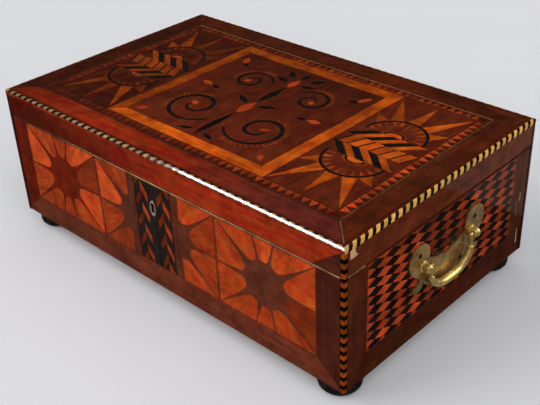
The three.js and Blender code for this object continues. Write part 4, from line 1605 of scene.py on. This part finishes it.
class INLAIDBOX_OT_handles(BoxOperator, bpy.types.Operator):
    """Casts the brass handles: a shaped plate, two posts and a swinging bail on each end"""

    bl_idname = "inlaid_box.handles"
    bl_label = "Handles"

    def execute(self, context):
        for side in ("left", "right"):
            self.plate(context, side)
            self.posts(side)
            self.bail(side)
        return {"FINISHED"}

    def plate(self, context, side):
        """The shaped back plate, with four near-black discs painted as the shade in its nail holes."""
        low, high = local_box(side, side + "_handle_plate")
        half = curve_run(
            (0, -6.2),
            ((2.5, -2.2), (7, -3.4)),
            ((10, -0.6), (15, -1.4)),
            ((23, 1.5), (30.5, 4.4)),
        )
        half += arc((46, 10), 16.5, math.pi + 0.35, -0.7, 40)
        half += curve_run(
            half[-1],
            ((57, -5), (48, -8), (45.5, -14)),
            ((45, -18), (49, -20), (54.5, -20.5)),
            ((56, -26), (49.5, -27.5)),
            ((41, -27.5), (38.5, -18.5)),
            ((36, -26), (22, -35), (0, -35)),
        )[1:]
        outline = half + [Vector((-p.x, p.y)) for p in reversed(half[1:-1])]
        bm = bmesh.new()
        rise = 82 * MM
        verts = [bm.verts.new((p.x * MM, p.y * MM + rise, low.z)) for p in outline]
        bmesh.ops.remove_doubles(bm, verts=verts, dist=0.05 * MM)
        face = bm.faces.new(bm.verts)
        grown = bmesh.ops.extrude_face_region(bm, geom=[face], use_keep_orig=True)
        top = [v for v in grown["geom"] if isinstance(v, bmesh.types.BMVert)]
        bmesh.ops.translate(bm, verts=top, vec=(0, 0, high.z - low.z))
        bmesh.ops.recalc_face_normals(bm, faces=bm.faces)
        rim = [e for e in bm.edges if all(abs(v.co.z - high.z) < 1e-6 for v in e.verts)]
        nail_hole, rubbed = 1, 2
        # The rim bevel takes the bright rubbed brass: rubbed wear, and partly a painted highlight along the plate's
        # edge
        for worn in round_off(bm, rim, context.scene.inlaid_box_sizes.brass_round, 3):
            worn.material_index = rubbed
        # Painted shade: each nail hole is a dark disc laid a hair proud of the plate, not a hole
        nail_radius = 2.6 * MM
        proud = 0.02 * MM
        for x, y in ((46, 14), (-46, 14), (24, -24), (-24, -24)):
            spot = Vector((x * MM, y * MM + rise, high.z))
            made = bmesh.ops.create_circle(
                bm,
                cap_ends=True,
                segments=16,
                radius=nail_radius,
                matrix=Matrix.Translation(spot + Vector((0, 0, proud))),
            )
            for f in {f for v in made["verts"] for f in v.link_faces}:
                f.material_index = nail_hole
        bm.transform(side_axes(side))
        nodes = [side + "_handle_plate"]
        metals = ["Cast brass", "Dark nail hole", "Rubbed brass and painted highlight"]
        make_piece(side + "_back_plate", bm, metals, "box", "brass", nodes)

    def posts(self, side):
        """The turned posts that the bail hangs between."""
        # Radius and height in millimetres
        shape = [(0, 0), (6.2, 0), (6.2, 0.9), (5.9, 1.2), (4, 2), (4, 2.6), (4.6, 3.1), (5, 3.8), (5, 6.4)]
        shape += [(4.7, 7.3), (3.8, 8.4), (2.9, 9.3), (1.6, 10), (0, 10)]
        for end in ("front", "back"):
            node = f"{side}_handle_post_{end}"
            low, high = local_box(side, node)
            bm = turned([(r * MM, h * MM) for r, h in shape], 32)
            reach = (high.z - low.z) / (10 * MM)
            bmesh.ops.scale(bm, verts=bm.verts, vec=(1, 1, reach))
            middle = (low + high) / 2
            bm.transform(side_axes(side) @ Matrix.Translation((middle.x, middle.y, low.z)))
            make_piece(f"{side}_post_{end}", bm, ["Rubbed brass and painted highlight"], "box", "brass", [node], 50)

    def bail(self, side):
        """The swinging grip, thick in the middle and thin at its eyes."""
        node = side + "_handle_bail"
        # Line of the grip from one eye to its middle, in millimetres from the pivot
        half = [(43, 0), (37, 0), (33.4, -0.8), (32.6, -5.5), (34, -12.5), (28.5, -22.5), (15.5, -29.3)]
        line = [Vector(p) for p in half] + [Vector((0, -31))] + [Vector((-x, y)) for x, y in reversed(half)]
        curve = bpy.data.curves.new(node, "CURVE")
        curve.dimensions = "3D"
        spline = curve.splines.new("POLY")
        fine = smooth_line(line, 10)
        spline.points.add(len(fine) - 1)
        for point, spot in zip(spline.points, fine):
            point.co = (spot.x * MM, spot.y * MM, 0, 1)
            share = max(0.0, min(1.0, (-spot.y - 4) / 24))
            share = share * share * (3 - 2 * share)
            point.radius = 1.8 if abs(spot.x) > 33.8 else 2.5 + 1.7 * share
        curve.bevel_depth = MM
        curve.bevel_resolution = 6
        curve.use_fill_caps = True
        holder = bpy.data.objects.new(node + "_curve", curve)
        bpy.context.scene.collection.objects.link(holder)
        bpy.context.view_layer.update()
        mesh = holder.evaluated_get(bpy.context.evaluated_depsgraph_get()).to_mesh()
        bm = bmesh.new()
        bm.from_mesh(mesh)
        bpy.data.objects.remove(holder)
        bpy.data.curves.remove(curve)
        bmesh.ops.remove_doubles(bm, verts=bm.verts, dist=0.005 * MM)
        bmesh.ops.recalc_face_normals(bm, faces=bm.faces)
        joint = next(j for j in frame["record"]["behaviour"]["joints"] if j["child"] == side + "_bail")
        pivot = side_axes(side).inverted() @ Vector(joint["pos_m"])
        lean = Matrix.Rotation(math.radians(-2), 4, "X")
        bm.transform(side_axes(side) @ Matrix.Translation(pivot) @ lean)
        make_piece(side + "_grip", bm, ["Rubbed brass and painted highlight"], side + "_bail", "brass", [node], 60)


def smooth_line(points, steps):
    """A smooth run through the points, by cubic segments with shared slopes."""
    fine = []
    for i in range(len(points) - 1):
        before = points[max(0, i - 1)]
        start, end = points[i], points[i + 1]
        after = points[min(len(points) - 1, i + 2)]
        first = start + (end - before) / 6
        second = end - (after - start) / 6
        run = interpolate_bezier(start.to_3d(), first.to_3d(), second.to_3d(), end.to_3d(), steps + 1)
        fine += [Vector(p).to_2d() for p in run[:-1]]
    fine.append(points[-1])
    return fine


class INLAIDBOX_OT_hinges(BoxOperator, bpy.types.Operator):
    """Fits the two brass butt hinges at the back"""

    bl_idname = "inlaid_box.hinges"
    bl_label = "Hinges"

    def execute(self, context):
        for side in ("left", "right"):
            for leaf_name, body in (("lower", "box"), ("upper", "lid")):
                node = f"{side}_hinge_{leaf_name}_leaf"
                bm = merged_copy(node)
                name = f"{side}_{leaf_name}_hinge"
                make_piece(name, bm, ["Cast brass"], body, "brass", [node], smooth=35)
        return {"FINISHED"}


class INLAIDBOX_OT_stage(BoxOperator, bpy.types.Operator):
    """Sets the floor, the lights and the camera"""

    bl_idname = "inlaid_box.stage"
    bl_label = "Stage"

    def execute(self, context):
        self.floor()
        self.lights(context)
        self.camera(context)
        context.scene.view_settings.view_transform = "Standard"
        return {"FINISHED"}

    def floor(self):
        """A wide pale floor."""
        half_width = 40
        bm = bmesh.new()
        bmesh.ops.create_grid(bm, x_segments=1, y_segments=1, size=half_width)
        mesh = bpy.data.meshes.new("floor")
        bm.to_mesh(mesh)
        bm.free()
        mesh.materials.append(material("Studio floor"))
        floor = bpy.data.objects.new("floor", mesh)
        floor.visible_glossy = False
        bpy.context.scene.collection.objects.link(floor)
        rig.stage(floor)

    def sky_light(self, name, source, strength, spread, colour=(1.0, 1.0, 1.0)):
        """A distant soft light, seen from the box in one direction."""
        light = bpy.data.lights.new(name, "SUN")
        light.energy = strength
        light.angle = math.radians(spread)
        light.color = colour
        lamp = bpy.data.objects.new(name, light)
        lamp.rotation_euler = (-Vector(source)).to_track_quat("-Z", "Y").to_euler()
        lamp.location = Vector(source).normalized() * 2
        bpy.context.scene.collection.objects.link(lamp)
        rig.stage(lamp)
        return lamp

    def floor_card(self, name, corner, far_corner, radiance, colour=(1.0, 1.0, 1.0)):
        """A bright patch of floor that only mirrors show."""
        light = bpy.data.lights.new(name, "AREA")
        light.shape = "RECTANGLE"
        light.size = far_corner[0] - corner[0]
        light.size_y = far_corner[1] - corner[1]
        light.energy = radiance * math.pi * light.size * light.size_y
        light.color = colour
        lamp = bpy.data.objects.new(name, light)
        lamp.rotation_euler = (math.pi, 0, 0)
        lamp.location = ((corner[0] + far_corner[0]) / 2, (corner[1] + far_corner[1]) / 2, -0.002)
        lamp.visible_camera = False
        lamp.visible_diffuse = False
        bpy.context.scene.collection.objects.link(lamp)
        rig.stage(lamp)
        return lamp

    def brass_pieces(self):
        """The pieces of brass, as a collection that a light can be kept to."""
        brass = bpy.data.collections.new("brass_pieces")
        for piece in bpy.data.objects:
            metals = piece.data.materials.keys() if piece.type == "MESH" else []
            if "Cast brass" in metals or "Rubbed brass and painted highlight" in metals:
                brass.objects.link(piece)
        return brass

    def lights(self, context):
        """A key, a soft fill, a broad top light, small lights for the shine, and a dim surround."""
        key = self.sky_light("key", (-0.55, -0.6, 0.42), strength=1.5, spread=50)
        key.visible_glossy = False
        fill = self.sky_light("fill", (0.75, -0.4, 0.5), strength=1.7, spread=70)
        fill.visible_glossy = False
        self.sky_light("top", (0.0, -0.1, 1.0), strength=1.5, spread=110)
        glint = self.sky_light("glint", (-0.575, -0.52, 0.63), strength=3.4, spread=16)
        rim = self.sky_light("brass_rim", (0.5, 0.74, 0.45), strength=2.2, spread=50)
        shine = self.sky_light("brass_shine", (0.75, -0.4, 0.5), strength=0.35, spread=30)
        for lamp in (glint, rim, shine):
            lamp.visible_diffuse = False
        floor_glow = self.floor_card("floor_glow", (-0.8, -0.8), (0.8, 0.8), radiance=0.25)
        brass = self.brass_pieces()
        for lamp in (rim, shine, floor_glow):
            lamp.light_linking.receiver_collection = brass
        haze = (1.0, 0.86, 0.79)
        for i in range(5):
            near = (0.29 + 0.035 * i, 0.24 + 0.045 * i)
            self.floor_card(f"end_haze_{i}", near, (0.8, 0.9), radiance=0.25, colour=haze)
        world = bpy.data.worlds.new("surround")
        world.use_nodes = True
        world.node_tree.nodes["Background"].inputs[0].default_value = (1.0, 1.0, 1.0, 1.0)
        world.node_tree.nodes["Background"].inputs[1].default_value = 0.03
        context.scene.world = world

    def camera(self, context):
        """The photograph's viewpoint, fitted to the box's edges."""
        azimuth, elevation, roll = (math.radians(a) for a in (44.60, 31.68, -2.55))
        away = Vector(
            (
                math.sin(azimuth) * math.cos(elevation),
                -math.cos(azimuth) * math.cos(elevation),
                math.sin(elevation),
            )
        )
        level = Vector((math.cos(azimuth), math.sin(azimuth), 0))
        above = away.cross(level)
        right = level * math.cos(roll) + above * math.sin(roll)
        up = above * math.cos(roll) - level * math.sin(roll)
        origin = side_axes("front").translation
        origin.y = side_axes("right").translation.y
        distance, aside, lift = 1.0739, 0.0095, 0.02805
        eye = origin + away * distance + right * aside + up * lift
        data = bpy.data.cameras.new("camera")
        data.lens = 61.05
        data.sensor_width = 36.0
        data.clip_start = 0.01
        camera = bpy.data.objects.new("camera", data)
        turn = Matrix((right, up, away)).transposed().to_4x4()
        camera.matrix_world = Matrix.Translation(eye) @ turn
        context.scene.collection.objects.link(camera)
        context.scene.camera = camera
        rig.stage(camera)


class INLAIDBOX_PT_panel(bpy.types.Panel):
    """Sidebar with the sizes, the colours and a button for each building step"""

    bl_idname = "INLAIDBOX_PT_panel"
    bl_label = "Inlaid box"
    bl_space_type = "VIEW_3D"
    bl_region_type = "UI"
    bl_category = "Inlaid box"

    def draw(self, context):
        layout = self.layout
        for group in (context.scene.inlaid_box_sizes, context.scene.inlaid_box_colours):
            column = layout.column(align=True)
            for key in group.__annotations__:
                column.prop(group, key)
        for operator in OPERATORS:
            layout.operator(operator.bl_idname)


OPERATORS = (
    INLAIDBOX_OT_carcass,
    INLAIDBOX_OT_lid,
    INLAIDBOX_OT_stars,
    INLAIDBOX_OT_keyhole,
    INLAIDBOX_OT_ends,
    INLAIDBOX_OT_lid_inlay,
    INLAIDBOX_OT_stringing,
    INLAIDBOX_OT_feet,
    INLAIDBOX_OT_handles,
    INLAIDBOX_OT_hinges,
    INLAIDBOX_OT_stage,
)
CLASSES = (InlaidBoxSizes, InlaidBoxColours) + OPERATORS + (INLAIDBOX_PT_panel,)


def register():
    for cls in CLASSES:
        bpy.utils.register_class(cls)
    bpy.types.Scene.inlaid_box_sizes = PointerProperty(type=InlaidBoxSizes)
    bpy.types.Scene.inlaid_box_colours = PointerProperty(type=InlaidBoxColours)


def unregister():
    del bpy.types.Scene.inlaid_box_colours
    del bpy.types.Scene.inlaid_box_sizes
    for cls in reversed(CLASSES):
        bpy.utils.unregister_class(cls)


def main():
    """Builds every piece in order and writes the CAD box and the final box."""
    register()
    bpy.ops.inlaid_box.carcass()
    bpy.ops.inlaid_box.lid()
    bpy.ops.inlaid_box.stars()
    bpy.ops.inlaid_box.keyhole()
    bpy.ops.inlaid_box.ends()
    bpy.ops.inlaid_box.lid_inlay()
    bpy.ops.inlaid_box.stringing()
    bpy.ops.inlaid_box.feet()
    bpy.ops.inlaid_box.handles()
    bpy.ops.inlaid_box.hinges()
    bpy.ops.inlaid_box.stage()
    boxes = {"cad": [list(v) for v in cad_box], "visual": [list(v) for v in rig.bounds()]}
    with open("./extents.json", "w") as out:
        json.dump(boxes, out)


if __name__ == "__main__":
    main()
